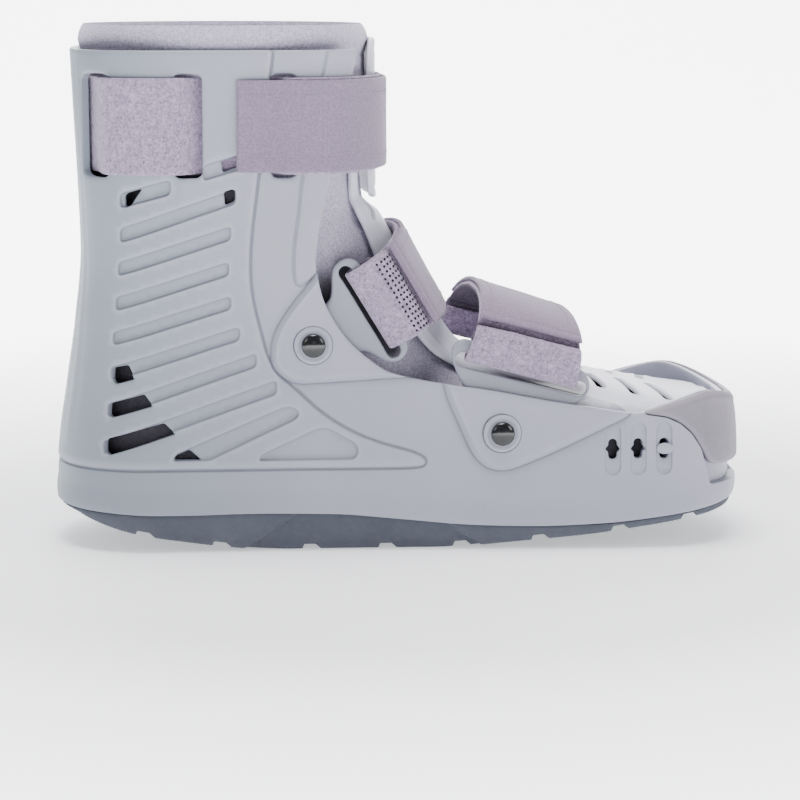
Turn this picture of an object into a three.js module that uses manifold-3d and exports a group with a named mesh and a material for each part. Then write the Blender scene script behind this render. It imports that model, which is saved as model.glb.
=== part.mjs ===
// A medical walking boot: rigid shell with slotted heel and leg, rocker outsole, toe bumper,
// padded liner, front plates, strap loops held by rivets, and three two-layer straps.
// Millimetres, +Z up, +X to the toe, -Y the boot's right side. The two sides mirror each other.
import * as THREE from "three";
import Module from "manifold-3d";

const wasm = await Module();
wasm.setup();

// Driving sizes, in millimetres.
const LENGTH = 299;           // heel to toe, over everything
const HEIGHT = 222;           // floor to the top of the liner collar
const HALF_WIDTH = 58.5;      // widest half width, at the ball of the foot
const COLLAR = 10;            // liner above the top edge of the shell
const SHELL_TOP = HEIGHT - COLLAR;
const WALL = 3;               // shell wall
const FLOOR = 4;              // shell floor under the foot
const GAP = 0.35;             // clearance between neighbouring pieces
const PANEL_RISE = 0.8;       // slotted panel and front flange above the side wall
const BOSS_RISE = 2.5;        // rivet bosses above the side wall
const SLOT_DEPTH = 0.4;       // slot floors below the side wall
const KEY_DEPTH = 1.2;        // keyhole recesses below the side wall
const BUMPER_RISE = 0.5;      // toe bumper above the side wall
const TOE_SET_IN = 3.4;       // toe wall behind the bumper
const LOOP_THICKNESS = 2.5;   // strap loops
const LOOP_OUT = 0.85;        // loop face below the side wall
const LINER_OUT = 3.6;        // liner face below the side wall
const LINER_WALL = 7;         // padded liner
const PLATE_THICKNESS = 2.4;  // front plate
const PLATE_GAP = 1.3;         // front plate above the liner
const SHIN_THICKNESS = 3.2;   // shin plate
const SOLE_INSET = 1.2;       // outsole side inside the shell side
const WAIST_INSET = 2.6;      // extra inset of the outsole waist
const STRAP_DROP = 11;        // shin strap below the top edge of the shell
const STRAP_WIDTH = 40;       // shin strap
const STRAP_Z = [SHELL_TOP - STRAP_DROP - STRAP_WIDTH, SHELL_TOP - STRAP_DROP];
const RIVET_RADIUS = 5.1;
const WASHER_RADIUS = 8;
const SHANK_RADIUS = 2.4;

// Reads a table: each row becomes an object with the named columns.
const rows = (names, list) => list.map((r) => Object.fromEntries(names.map((n, i) => [n, r[i]])));

// Points given as shares of length and height, turned into millimetres.
const place = (list) => list.map(([x, z]) => [x * LENGTH, z * HEIGHT]);

// Smooth curve through table values that never overshoots them.
function smooth(xs, ys, x) {
  const n = xs.length;
  if (x <= xs[0]) return ys[0];
  if (x >= xs[n - 1]) return ys[n - 1];
  let k = 0;
  while (x > xs[k + 1]) k += 1;
  const rate = (i) => (ys[i + 1] - ys[i]) / (xs[i + 1] - xs[i]);
  const slope = (i) => {
    if (i === 0) return rate(0);
    if (i === n - 1) return rate(n - 2);
    const a = rate(i - 1);
    const b = rate(i);
    return a * b <= 0 ? 0 : (2 * a * b) / (a + b);
  };
  const h = xs[k + 1] - xs[k];
  const t = (x - xs[k]) / h;
  const t2 = t * t;
  const t3 = t2 * t;
  return (2 * t3 - 3 * t2 + 1) * ys[k] + (t3 - 2 * t2 + t) * h * slope(k)
    + (3 * t2 - 2 * t3) * ys[k + 1] + (t3 - t2) * h * slope(k + 1);
}

// Plan outlines of the outer form, from the floor up. z is a share of the height; back, front,
// backCap and frontCap are shares of the length; heel, ankle, waist and ball are half widths as
// shares of the widest half width; backPower and frontPower say how square the ends are.
const LEVELS = rows(
  ["z", "back", "front", "heel", "ankle", "waist", "ball", "backCap", "frontCap",
    "backPower", "frontPower"],
  [
  [0, -0.4873, 0.4893, 0.7726, 0.8068, 0.8615, 0.947, 0.1538, 0.1538, 2.3, 2.5],
  [0.0721, -0.499, 0.4943, 0.8085, 0.8376, 0.8974, 0.9812, 0.1538, 0.1538, 2.3, 2.55],
  [0.1126, -0.4996, 0.4977, 0.8171, 0.8444, 0.906, 0.9897, 0.1538, 0.1538, 2.3, 2.6],
  [0.1667, -0.4956, 0.4984, 0.8103, 0.8393, 0.9026, 0.9846, 0.1505, 0.1505, 2.35, 2.6],
  [0.2297, -0.4903, 0.4964, 0.7949, 0.8291, 0.8889, 0.9692, 0.1472, 0.1505, 2.4, 2.6],
  [0.2793, -0.4842, 0.4897, 0.7863, 0.8239, 0.8821, 0.9538, 0.1438, 0.1472, 2.45, 2.6],
  [0.3423, -0.4772, 0.481, 0.7829, 0.8239, 0.8752, 0.9368, 0.1371, 0.1438, 2.5, 2.6],
  [0.4144, -0.4689, 0.4776, 0.7897, 0.8359, 0.8752, 0.9162, 0.1304, 0.1405, 2.6, 2.6],
  [0.4459, -0.4662, 0.2034, 0.7966, 0.8444, 0.8769, 0.906, 0.1271, 0.1405, 2.65, 2.3],
  [0.5045, -0.4608, 0.1164, 0.8137, 0.8615, 0.8821, 0.8957, 0.1237, 0.1405, 2.7, 2.2],
  [0.5676, -0.4575, 0.0696, 0.8376, 0.8855, 0.8923, 0.8923, 0.1237, 0.1405, 2.8, 2.2],
  [0.6757, -0.4595, -0.0327, 0.8752, 0.9162, 0.9231, 0.9231, 0.1237, 0.1204, 2.8, 2.2],
  [0.8559, -0.4652, -0.0341, 0.9265, 0.9607, 0.9641, 0.9641, 0.1271, 0.1338, 2.8, 2.2],
  [1.036, -0.4709, -0.0341, 0.9675, 0.9949, 0.9949, 0.9949, 0.1304, 0.1405, 2.8, 2.2],
  ],
);
const WIDTH_STATIONS = [-0.3986, -0.1645, 0.0696, 0.287];

// Rings of the foot and leg, fanning round the instep from the collar to the toe. Each ring
// runs from a front point on the instep line to a back point on the heel or sole line.
// half is the half width, power the squareness, plate the half width of the front plate there.
const RINGS = rows(
  ["frontX", "frontZ", "backX", "backZ", "half", "power", "plate"],
  [
  [-0.0471, 1, -0.4585, 1, 0.9231, 2.2, 0.4103],
  [-0.0475, 0.8559, -0.4535, 0.8559, 0.8957, 2.2, 0.4103],
  [-0.0562, 0.7297, -0.4495, 0.7207, 0.865, 2.2, 0.4103],
  [-0.0495, 0.6622, -0.4475, 0.6261, 0.8479, 2.2, 0.4274],
  [-0.0301, 0.6081, -0.4461, 0.5315, 0.8308, 2.25, 0.4615],
  [-0.0023, 0.5315, -0.4541, 0.4324, 0.8171, 2.3, 0.5299],
  [0.0378, 0.4369, -0.4675, 0.3153, 0.8137, 2.4, 0.6325],
  [0.0813, 0.3671, -0.4789, 0.1892, 0.8205, 2.5, 0.7009],
  [0.1465, 0.3288, -0.4254, 0.1018, 0.8376, 2.7, 0.735],
  [0.2134, 0.3077, -0.1311, 0.0941, 0.8718, 2.9, 0.7692],
  [0.2836, 0.2923, 0.1365, 0.0766, 0.906, 3.1, 0.8376],
  [0.3438, 0.2757, 0.2836, 0.0788, 0.9145, 3.2, 0.8803],
  [0.3974, 0.2631, 0.3806, 0.0923, 0.8974, 3.2, 0.8718],
  [0.4442, 0.255, 0.4408, 0.1036, 0.8376, 3.2, 0.812],
  [0.481, 0.2486, 0.481, 0.1126, 0.7521, 3.2, 0.7265],
  ],
);

// Side view outlines, each point a share of the length and of the height.
const SHELL_BOTTOM = [
  [-0.5257, 0.0829], [-0.4756, 0.0797], [-0.4187, 0.0766], [-0.3719, 0.0739], [-0.3117, 0.0734],
  [-0.2267, 0.0752], [-0.111, 0.073], [-0.0107, 0.0613], [0.0997, 0.0477], [0.1833, 0.045],
  [0.2803, 0.0505], [0.394, 0.0667], [0.4576, 0.0775], [0.5378, 0.0892],
];
const SHELL_EDGE = [
  [0.5378, 0.2523], [0.501, 0.2712], [0.481, 0.2829], [0.4616, 0.2928], [0.4382, 0.2991],
  [0.4151, 0.2941], [0.3659, 0.2775], [0.3358, 0.264], [0.3141, 0.2622], [0.2997, 0.2685],
  [0.1943, 0.2892], [0.1057, 0.3135], [0.0475, 0.3207], [-0.0247, 0.3423], [-0.0461, 0.3599],
  [-0.0782, 0.3946], [-0.1006, 0.4315], [-0.1204, 0.4793], [-0.1297, 0.527], [-0.1327, 0.5676],
  [-0.124, 0.6486], [-0.111, 0.7234], [-0.0709, 0.955],
];
const PANEL = [
  [-0.5324, 0.1635], [0.0161, 0.1635], [0.0248, 0.173], [0.0134, 0.1883], [-0.0404, 0.2077],
  [-0.0786, 0.2279], [-0.1224, 0.264], [-0.1612, 0.3149], [-0.1846, 0.3423], [-0.198, 0.3739],
  [-0.2046, 0.4144], [-0.218, 0.482], [-0.2247, 0.536], [-0.2234, 0.5856], [-0.2113, 0.7342],
  [-0.1846, 0.964], [-0.5324, 0.964],
];
const FLANGE = [
  [-0.1177, 0.964], [-0.1488, 0.7185], [-0.1578, 0.6189], [-0.1608, 0.5622], [-0.1578, 0.5113],
  [-0.0976, 0.509], [-0.0107, 0.964],
];
const INSTEP_BOSS = [
  [-0.1244, 0.536], [-0.1729, 0.464], [-0.1913, 0.4207], [-0.1956, 0.3766], [-0.1893, 0.3514],
  [-0.1652, 0.3248], [-0.0846, 0.3306], [-0.024, 0.3351], [0.0161, 0.3604], [-0.0642, 0.536],
];
const BALL_BOSS = [
  [0.0472, 0.3333], [0.0482, 0.3135], [0.0679, 0.2541], [0.087, 0.1941], [0.1017, 0.1685],
  [0.1188, 0.1568], [0.1398, 0.1559], [0.1626, 0.1667], [0.2151, 0.1968], [0.2783, 0.2378],
  [0.3137, 0.2604], [0.3137, 0.2883], [0.2034, 0.3423],
];
const BUMPER = [
  [0.3355, 0.3604], [0.3355, 0.2622], [0.3673, 0.2563], [0.3883, 0.2428], [0.4061, 0.2221],
  [0.4208, 0.191], [0.4352, 0.155], [0.5378, 0.155], [0.5378, 0.3604],
];
const TOE_RECESS = [
  [0.3345, 0.3604], [0.3345, 0.2608], [0.3669, 0.2545], [0.3873, 0.2414], [0.4051, 0.2207],
  [0.4198, 0.1901], [0.4355, 0.1189], [0.5378, 0.1189], [0.5378, 0.3604],
];
const TOE_BACKING = [
  [0.3037, 0.045], [0.3037, 0.2342], [0.3773, 0.2477], [0.5378, 0.2477], [0.5378, 0.045],
];
const WAIST = [
  [-0.2648, -0.009], [-0.1461, 0.0811], [0.0295, 0.0811], [0.103, -0.009],
];

// Slanted slots of the panel: left and right end, the middle height at each end, and the slot
// height. Shares of length and height. open is the through part at either end, a share of the
// slot's run, negative at the heel end.
const SLOTS = rows(
  ["left", "right", "leftZ", "rightZ", "height", "open"],
  [
    [-0.4, -0.3324, 0.6797, 0.7036, 0.0288, -0.4],
    [-0.2883, -0.2368, 0.7261, 0.7505, 0.0297, 0.45],
    [-0.4006, -0.2461, 0.6122, 0.6815, 0.0306, 0.1],
    [-0.4046, -0.2521, 0.5459, 0.6126, 0.0279, 0],
    [-0.4087, -0.2562, 0.4793, 0.5459, 0.0284, 0],
    [-0.4133, -0.2535, 0.4126, 0.4811, 0.0279, 0],
    [-0.4187, -0.2421, 0.3459, 0.4225, 0.0275, -0.16],
    [-0.4234, -0.218, 0.2739, 0.3703, 0.027, -0.28],
    [-0.4294, -0.1899, 0.2036, 0.318, 0.0279, -0.4],
  ],
);
const TAIL_SLOT = [
  [-0.3304, 0.1802], [-0.3217, 0.1964], [-0.1779, 0.2802], [-0.1645, 0.2811], [-0.1548, 0.2667],
  [-0.1625, 0.2568], [-0.2796, 0.182],
];
const TAIL_WINDOW = [
  [-0.3284, 0.1811], [-0.3217, 0.1937], [-0.307, 0.2009], [-0.2943, 0.1811],
];
const TRIANGLE = [
  [-0.212, 0.1797], [-0.208, 0.1892], [-0.1291, 0.2387], [-0.1164, 0.2378], [-0.0762, 0.2081],
  [-0.0729, 0.1955], [-0.0789, 0.1802],
];

// Keyhole recesses along the toe side.
const KEYS = rows(["x", "z", "half", "tall"], [
  [0.289, 0.1946, 0.011, 0.0991],
  [0.3258, 0.1946, 0.011, 0.0991],
  [0.3639, 0.1946, 0.011, 0.0991],
]);
const PIN = { x: 0.3639, z: 0.1955 };
const RIVETS = rows(["x", "z"], [[-0.1361, 0.4005], [0.1308, 0.2284]]);

// Strap loops: side outline, and the slot the strap threads.
const INSTEP_LOOP = [
  [-0.119, 0.4739], [-0.109, 0.491], [-0.1097, 0.5356], [-0.105, 0.5514], [-0.0943, 0.5626],
  [-0.0829, 0.5649], [-0.0702, 0.5559], [-0.0003, 0.4], [-0.003, 0.3802], [-0.014, 0.3658],
  [-0.0281, 0.3631], [-0.0441, 0.373], [-0.0642, 0.3901], [-0.0876, 0.3721], [-0.1177, 0.3559],
  [-0.1478, 0.3586], [-0.1679, 0.3829], [-0.1679, 0.4144], [-0.1511, 0.4441],
];
const BALL_LOOP = [
  [0.1064, 0.2252], [0.093, 0.2703], [0.0776, 0.3153], [0.0642, 0.3514], [0.0589, 0.3829],
  [0.0642, 0.4009], [0.077, 0.409], [0.091, 0.4036], [0.2382, 0.3523], [0.2515, 0.3387],
  [0.2576, 0.3171], [0.2509, 0.2955], [0.2348, 0.2775], [0.2034, 0.2477], [0.1699, 0.2099],
  [0.1499, 0.1892], [0.1298, 0.1838], [0.1131, 0.1964],
];
const INSTEP_SLOT = { rear: [-0.0896, 0.5387], front: [-0.022, 0.3892] };
const BALL_SLOT = { rear: [0.0749, 0.3712], front: [0.2422, 0.3126] };
const LOOP_SLOT_HALF = 2.6;   // half width of a loop slot
const LOOP_BAR = 4.4;         // bar the strap wraps

// Tops of the two lower straps at mid foot, underside, rear and front edge.
const INSTEP_TOP = { rear: [-0.0127, 0.609], front: [0.0549, 0.4441] };
const BALL_TOP = { rear: [0.1071, 0.477], front: [0.2495, 0.4131] };

const signedVolume = (points, faces) => {
  let sum = 0;
  for (const [a, b, c] of faces) {
    const [p, q, r] = [points[a], points[b], points[c]];
    sum += p[0] * (q[1] * r[2] - q[2] * r[1]) - p[1] * (q[0] * r[2] - q[2] * r[0])
      + p[2] * (q[0] * r[1] - q[1] * r[0]);
  }
  return sum / 6;
};

// A closed body from points and triangles, turned to face outward.
function body(points, faces) {
  const out = signedVolume(points, faces) < 0;
  const mesh = new wasm.Mesh({
    numProp: 3,
    vertProperties: new Float32Array(points.flat()),
    triVerts: new Uint32Array(faces.flatMap(([a, b, c]) => (out ? [a, c, b] : [a, b, c]))),
  });
  return new wasm.Manifold(mesh);
}

// A body lofted through closed rings of equal length, capped at both ends from its centre.
function loft(rings) {
  const n = rings[0].length;
  const points = rings.flat();
  const faces = [];
  for (let k = 0; k + 1 < rings.length; k += 1) {
    for (let i = 0; i < n; i += 1) {
      const a = k * n + i;
      const b = k * n + ((i + 1) % n);
      faces.push([a, b, b + n], [a, b + n, a + n]);
    }
  }
  for (const [k, flip] of [[0, true], [rings.length - 1, false]]) {
    const ring = rings[k];
    const centre = points.length;
    points.push([0, 1, 2].map((j) => ring.reduce((s, p) => s + p[j], 0) / n));
    for (let i = 0; i < n; i += 1) {
      const a = k * n + i;
      const b = k * n + ((i + 1) % n);
      faces.push(flip ? [centre, b, a] : [centre, a, b]);
    }
  }
  return body(points, faces);
}

// A straight body over a flat outline. at(u, v, h) places an outline point at height h.
function prism(outline, at, low, high) {
  const drawn = outline.map(([u, v]) => new THREE.Vector2(u, v));
  const flat = THREE.ShapeUtils.area(drawn) < 0 ? drawn.reverse() : drawn;
  const turn = ([a, b, c]) => (THREE.ShapeUtils.area([flat[a], flat[b], flat[c]]) < 0
    ? [a, c, b] : [a, b, c]);
  const caps = THREE.ShapeUtils.triangulateShape(flat, []).map(turn);
  const n = flat.length;
  const points = [low, high].flatMap((h) => flat.map((p) => at(p.x, p.y, h)));
  const faces = caps.flatMap(([a, b, c]) => [[c, b, a], [a + n, b + n, c + n]]);
  for (let i = 0; i < n; i += 1) {
    const j = (i + 1) % n;
    faces.push([i, j, j + n], [i, j + n, i + n]);
  }
  return body(points, faces);
}
const SIDE = (x, z, y) => [x, y, z];
const PLAN = (x, y, z) => [x, y, z];
const REACH = 90;             // half depth of a cutter that passes right across
const across = (outline, low = -REACH, high = REACH) => prism(outline, SIDE, low, high);

// A slot outline with round ends, from p to q, with the given half width.
function stadium(p, q, half, steps = 3) {
  const turn = Math.atan2(q[1] - p[1], q[0] - p[0]);
  const end = (c, from) => Array.from({ length: steps + 1 }, (_, i) => {
    const a = turn + from + (Math.PI * i) / steps;
    return [c[0] + half * Math.cos(a), c[1] + half * Math.sin(a)];
  });
  return [...end(q, -Math.PI / 2), ...end(p, Math.PI / 2)];
}

// An outline drawn in about its middle by a share.
function drawIn(outline, share) {
  const mid = [0, 1].map((j) => outline.reduce((s, p) => s + p[j], 0) / outline.length);
  return outline.map((p) => p.map((v, j) => mid[j] + (v - mid[j]) * share));
}

// A body turned about a line along Y, from radius and height pairs. side is -1 or 1.
function turned(profile, x, z, y, side, steps = 12) {
  const ring = ([r, h]) => Array.from({ length: steps }, (_, i) => {
    const a = (2 * Math.PI * i) / steps;
    return [x + r * Math.cos(a), y + side * h, z + r * Math.sin(a)];
  });
  return loft(profile.map(ring));
}

// The outer form at a height: every column of the levels table in millimetres.
function level(z) {
  const heights = LEVELS.map((r) => r.z * HEIGHT);
  const column = (name, scale) => smooth(heights, LEVELS.map((r) => r[name] * scale), z);
  return {
    back: column("back", LENGTH),
    front: column("front", LENGTH),
    widths: ["heel", "ankle", "waist", "ball"].map((name) => column(name, HALF_WIDTH)),
    backCap: column("backCap", LENGTH),
    frontCap: column("frontCap", LENGTH),
    backPower: column("backPower", 1),
    frontPower: column("frontPower", 1),
  };
}
const STATIONS = WIDTH_STATIONS.map((x) => x * LENGTH);
const sideY = (x, z) => smooth(STATIONS, level(z).widths, x);

// Plan outline of the form at height z, moved outward by d.
function outline(z, d, caps, sides) {
  const m = level(z);
  const wide = (x) => smooth(STATIONS, m.widths, x) + d;
  const half = [];
  for (let i = 0; i <= caps; i += 1) {
    const a = (Math.PI / 2) * (i / caps);
    const x = m.back - d + (m.backCap + d * 0.5) * (1 - Math.cos(a) ** (2 / m.backPower));
    half.push([x, wide(x) * Math.sin(a) ** (2 / m.backPower)]);
  }
  const from = m.back + m.backCap - d * 0.5;
  const to = m.front - m.frontCap + d * 0.5;
  for (let i = 1; i < sides; i += 1) {
    const x = from + ((to - from) * i) / sides;
    half.push([x, wide(x)]);
  }
  for (let i = caps; i >= 0; i -= 1) {
    const a = (Math.PI / 2) * (i / caps);
    const x = m.front + d - (m.frontCap + d * 0.5) * (1 - Math.cos(a) ** (2 / m.frontPower));
    half.push([x, wide(x) * Math.sin(a) ** (2 / m.frontPower)]);
  }
  const other = half.slice(1, -1).reverse().map(([x, y]) => [x, -y]);
  return [...half, ...other];
}

// Heights of the form's rows, as shares of the height.
const FORM_HEIGHTS = [-0.009, 0.0721, 0.1171, 0.1712, 0.2342, 0.2883, 0.3604, 0.4144, 0.4459,
  0.5045, 0.5856, 0.6757, 0.8108, 1.036].map((share) => share * HEIGHT);
const CAP_STEPS = 5;
const SIDE_STEPS = 7;
const formKept = new Map();
// The outer form moved outward by d, as one closed body.
function form(d) {
  if (!formKept.has(d)) {
    formKept.set(d, loft(FORM_HEIGHTS.map((z) => outline(Math.max(z, 0), d, CAP_STEPS, SIDE_STEPS)
      .map(([x, y]) => [x, y, z]))));
  }
  return formKept.get(d);
}
const shellBand = (out, inn) => form(out).subtract(form(inn));

// A point of the ring fan: r runs over the rings, y across, d outward. The front half only.
function ringAt(r) {
  const column = (name, scale) => smooth(RINGS.map((_, i) => i),
    RINGS.map((row) => row[name] * scale), r);
  return {
    front: [column("frontX", LENGTH), column("frontZ", HEIGHT)],
    back: [column("backX", LENGTH), column("backZ", HEIGHT)],
    half: column("half", HALF_WIDTH),
    power: column("power", 1),
    plate: column("plate", HALF_WIDTH),
  };
}
function ringPoint(r, y, d) {
  const m = ringAt(r);
  const mid = [0, 1].map((j) => (m.front[j] + m.back[j]) / 2);
  const run = [0, 1].map((j) => (m.front[j] - m.back[j]) / 2);
  const long = Math.hypot(...run);
  const share = Math.min(1, Math.abs(y) / (m.half + d));
  const u = (long + d) * (1 - share ** m.power) ** (1 / m.power);
  return [mid[0] + (run[0] / long) * u, y, mid[1] + (run[1] / long) * u];
}
// A whole ring, moved outward by d.
function ring(r, d, steps) {
  const m = ringAt(r);
  const mid = [0, 1].map((j) => (m.front[j] + m.back[j]) / 2);
  const run = [0, 1].map((j) => (m.front[j] - m.back[j]) / 2);
  const long = Math.hypot(...run);
  return Array.from({ length: steps }, (_, i) => {
    const a = (2 * Math.PI * i) / steps;
    const p = 2 / m.power;
    const u = (long + d) * Math.sign(Math.cos(a)) * Math.abs(Math.cos(a)) ** p;
    const v = (m.half + d) * Math.sign(Math.sin(a)) * Math.abs(Math.sin(a)) ** p;
    return [mid[0] + (run[0] / long) * u, v, mid[1] + (run[1] / long) * u];
  });
}

// A sheet of even or varying thickness over a grid of points. grid[i][j] runs along and across;
// low and high give the distance of the two faces from the grid, out along its normal.
function sheet(grid, low, high, closed = false) {
  const rowsN = grid.length;
  const cols = grid[0].length;
  const vec = (p) => new THREE.Vector3(...p);
  const wrap = (i) => (closed ? (i + rowsN) % rowsN : Math.min(rowsN - 1, Math.max(0, i)));
  const normals = grid.map((row, i) => row.map((_, j) => {
    const along = vec(grid[wrap(i + 1)][j]).sub(vec(grid[wrap(i - 1)][j]));
    const over = vec(row[Math.min(cols - 1, j + 1)]).sub(vec(row[Math.max(0, j - 1)]));
    return along.cross(over).normalize();
  }));
  const points = [];
  for (const side of [low, high]) {
    grid.forEach((row, i) => row.forEach((p, j) => {
      const out = typeof side === "function" ? side(i / (rowsN - 1), j / (cols - 1)) : side;
      points.push(vec(p).addScaledVector(normals[i][j], out).toArray());
    }));
  }
  const at = (s, i, j) => s * rowsN * cols + (i % rowsN) * cols + j;
  const faces = [];
  const quad = (a, b, c, d) => faces.push([a, b, c], [a, c, d]);
  const last = closed ? rowsN : rowsN - 1;
  for (let i = 0; i < last; i += 1) {
    for (let j = 0; j + 1 < cols; j += 1) {
      quad(at(1, i, j), at(1, i + 1, j), at(1, i + 1, j + 1), at(1, i, j + 1));
      quad(at(0, i, j), at(0, i, j + 1), at(0, i + 1, j + 1), at(0, i + 1, j));
    }
    quad(at(0, i, 0), at(0, i + 1, 0), at(1, i + 1, 0), at(1, i, 0));
    quad(at(1, i, cols - 1), at(1, i + 1, cols - 1), at(0, i + 1, cols - 1), at(0, i, cols - 1));
  }
  if (!closed) {
    for (let j = 0; j + 1 < cols; j += 1) {
      quad(at(0, 0, j), at(1, 0, j), at(1, 0, j + 1), at(0, 0, j + 1));
      quad(at(0, rowsN - 1, j), at(0, rowsN - 1, j + 1), at(1, rowsN - 1, j + 1),
        at(1, rowsN - 1, j));
    }
  }
  return body(points, faces);
}

const bottom = place(SHELL_BOTTOM);
const edge = place(SHELL_EDGE);
const shellProfile = [...bottom, ...edge, [-LENGTH * 0.53, SHELL_TOP]];
const cavityProfile = [...bottom.map(([x, z]) => [x, z + FLOOR]), [LENGTH * 0.53, HEIGHT + 20],
  [-LENGTH * 0.53, HEIGHT + 20]];

// Outsole: rocker profile with tread grooves and a set-in waist.
const TREAD = [
  [-0.4889, 0.0757], [-0.4679, 0.0694], [-0.4548, 0.0613], [-0.4371, 0.0523], [-0.4154, 0.0423],
  [-0.3919, 0.0342], [-0.3685, 0.0279], [-0.3291, 0.0194], [-0.297, 0.0126], [-0.2665, 0.0072],
  [-0.2267, 0.0027], [-0.1812, 0], [0.0228, 0], [0.0596, 0.0027], [0.0997, 0.0072],
  [0.1365, 0.0117], [0.1766, 0.0167], [0.2278, 0.023], [0.2602, 0.0279], [0.3071, 0.0365],
  [0.3619, 0.0464], [0.3974, 0.0532], [0.4352, 0.059], [0.4642, 0.064], [0.491, 0.0685],
  [0.5311, 0.0748],
];
const GROOVES = [-0.3806, -0.2782, -0.1528, -0.0441, 0.0629, 0.178, 0.297, 0.404];
const GROOVE_HALF = 3.6;
const GROOVE_DEPTH = 2;
function groove(x) {
  const tread = place(TREAD);
  const z = smooth(tread.map((p) => p[0]), tread.map((p) => p[1]), x);
  const h = GROOVE_HALF;
  return across([[x - h, z - 4], [x + h, z - 4], [x + h * 0.9, z + 0.9], [x + h * 0.4,
    z + GROOVE_DEPTH], [x - h * 0.4, z + GROOVE_DEPTH], [x - h * 0.9, z + 0.9]]);
}
function makeOutsole() {
  const top = bottom.map(([x, z]) => [x, z - GAP]).reverse();
  const profile = across([...place(TREAD), ...top]);
  const wide = form(-SOLE_INSET).intersect(profile);
  const narrow = form(-SOLE_INSET - WAIST_INSET).intersect(profile);
  let sole = wide.subtract(across(place(WAIST))).add(narrow);
  for (const x of GROOVES) sole = sole.subtract(groove(x * LENGTH));
  return sole;
}

const slotOutline = (s, from = 0, to = 1) => {
  const at = (t) => [(s.left + (s.right - s.left) * t) * LENGTH,
    (s.leftZ + (s.rightZ - s.leftZ) * t) * HEIGHT];
  const half = (s.height * HEIGHT) / 2;
  const p = at(from);
  const q = at(to);
  const turn = Math.atan2(q[1] - p[1], q[0] - p[0]);
  const move = [half * 0.6 * Math.cos(turn), half * 0.6 * Math.sin(turn)];
  return stadium([p[0] + move[0], p[1] + move[1]], [q[0] - move[0], q[1] - move[1]], half, 2);
};
const windowOutline = (s) => {
  const shrunk = { ...s, height: s.height * 0.86 };
  return s.open < 0 ? slotOutline(shrunk, 0.012, -s.open) : slotOutline(shrunk, 1 - s.open, 0.99);
};

// y of the side wall at x and z, as the faceted form has it.
function wallY(x, z) {
  let k = 1;
  while (k < FORM_HEIGHTS.length - 1 && FORM_HEIGHTS[k] < z) k += 1;
  const [low, high] = [FORM_HEIGHTS[k - 1], FORM_HEIGHTS[k]];
  const at = (h) => {
    const m = level(Math.max(h, 0));
    const back = Math.max(0, 1 - (x - m.back) / m.backCap);
    const front = Math.max(0, 1 - (m.front - x) / m.frontCap);
    return smooth(STATIONS, m.widths, x) * (1 - back ** m.backPower) ** (1 / m.backPower)
      * (1 - front ** m.frontPower) ** (1 / m.frontPower);
  };
  const t = (z - low) / (high - low);
  return at(low) * (1 - t) + at(high) * t;
}

// Shell: base, heel counter and leg in one wall, open along the instep and at the top.
function makeShell() {
  const profile = across(shellProfile);
  const instepBoss = place(INSTEP_BOSS);
  const ballBoss = place(BALL_BOSS);
  const raised = form(PANEL_RISE).intersect(across(place(PANEL)).add(across(place(FLANGE))));
  const bosses = form(BOSS_RISE).intersect(across(instepBoss).add(across(ballBoss)));
  let outer = form(0).add(raised).add(bosses).intersect(profile);
  const cuts = SLOTS.map((s) => slotOutline(s));
  cuts.push(place(TAIL_SLOT), place(TRIANGLE));
  for (const cut of cuts) outer = outer.subtract(across(cut));
  outer = outer.add(form(-SLOT_DEPTH).intersect(profile));
  for (const k of KEYS) {
    const up = (k.tall / 2) * HEIGHT - k.half * LENGTH;
    const [x, z] = [k.x * LENGTH, k.z * HEIGHT];
    outer = outer.subtract(across(stadium([x, z - up], [x, z + up], k.half * LENGTH)));
  }
  outer = outer.add(form(-KEY_DEPTH).intersect(profile));
  const toe = across(place(TOE_RECESS));
  outer = outer.subtract(toe)
    .add(form(-TOE_SET_IN).intersect(across(place(TOE_BACKING)).intersect(profile)));

  const hollow = across(cavityProfile);
  const backed = across(place(TOE_BACKING));
  let cavity = form(-WALL).intersect(hollow).subtract(backed)
    .add(form(-TOE_SET_IN - WALL).intersect(hollow).intersect(backed));
  const pockets = across(drawIn(instepBoss, 0.86)).add(across(drawIn(ballBoss, 0.86)));
  cavity = cavity.add(form(BOSS_RISE - WALL).intersect(pockets).intersect(hollow));
  let shell = outer.subtract(cavity);

  for (const s of SLOTS.filter((row) => row.open !== 0)) {
    shell = shell.subtract(across(windowOutline(s)));
  }
  shell = shell.subtract(across(place(TAIL_WINDOW)));
  for (const k of KEYS) {
    const [x, z] = [k.x * LENGTH, k.z * HEIGHT];
    shell = shell.subtract(across(stadium([x, z - 2.6], [x, z + 2.6], 1.9)))
      .subtract(across([[x - 3, z - 1.4], [x + 3, z - 1.4], [x + 3, z + 1.4], [x - 3, z + 1.4]]));
  }
  for (const s of SHIN_SLOTS) {
    const low = STRAP_Z[0] - 1.6;
    const high = STRAP_Z[1] + 1.6;
    const [a, b] = [s.from * LENGTH, s.to * LENGTH];
    shell = shell.subtract(across([[a, low], [b, low], [b, high], [a, high]]));
  }
  for (const r of RIVETS) {
    const [x, z] = [r.x * LENGTH, r.z * HEIGHT];
    const seat = wallY(x, z) + BOSS_RISE - 0.5;
    for (const side of [-1, 1]) {
      shell = shell.subtract(turned([[0.02, 0], [WASHER_RADIUS + 0.4, 0.01],
        [WASHER_RADIUS + 0.4, 12], [0.02, 12.01]], x, z, side * seat, side, 20));
    }
    shell = shell.subtract(across(stadium([x - 0.01, z], [x + 0.01, z], SHANK_RADIUS + 0.3, 5)));
  }
  return shell;
}

function makeBumper() {
  const region = across(place(BUMPER)).intersect(across(shellProfile));
  return shellBand(BUMPER_RISE, -WALL).intersect(region);
}

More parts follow.
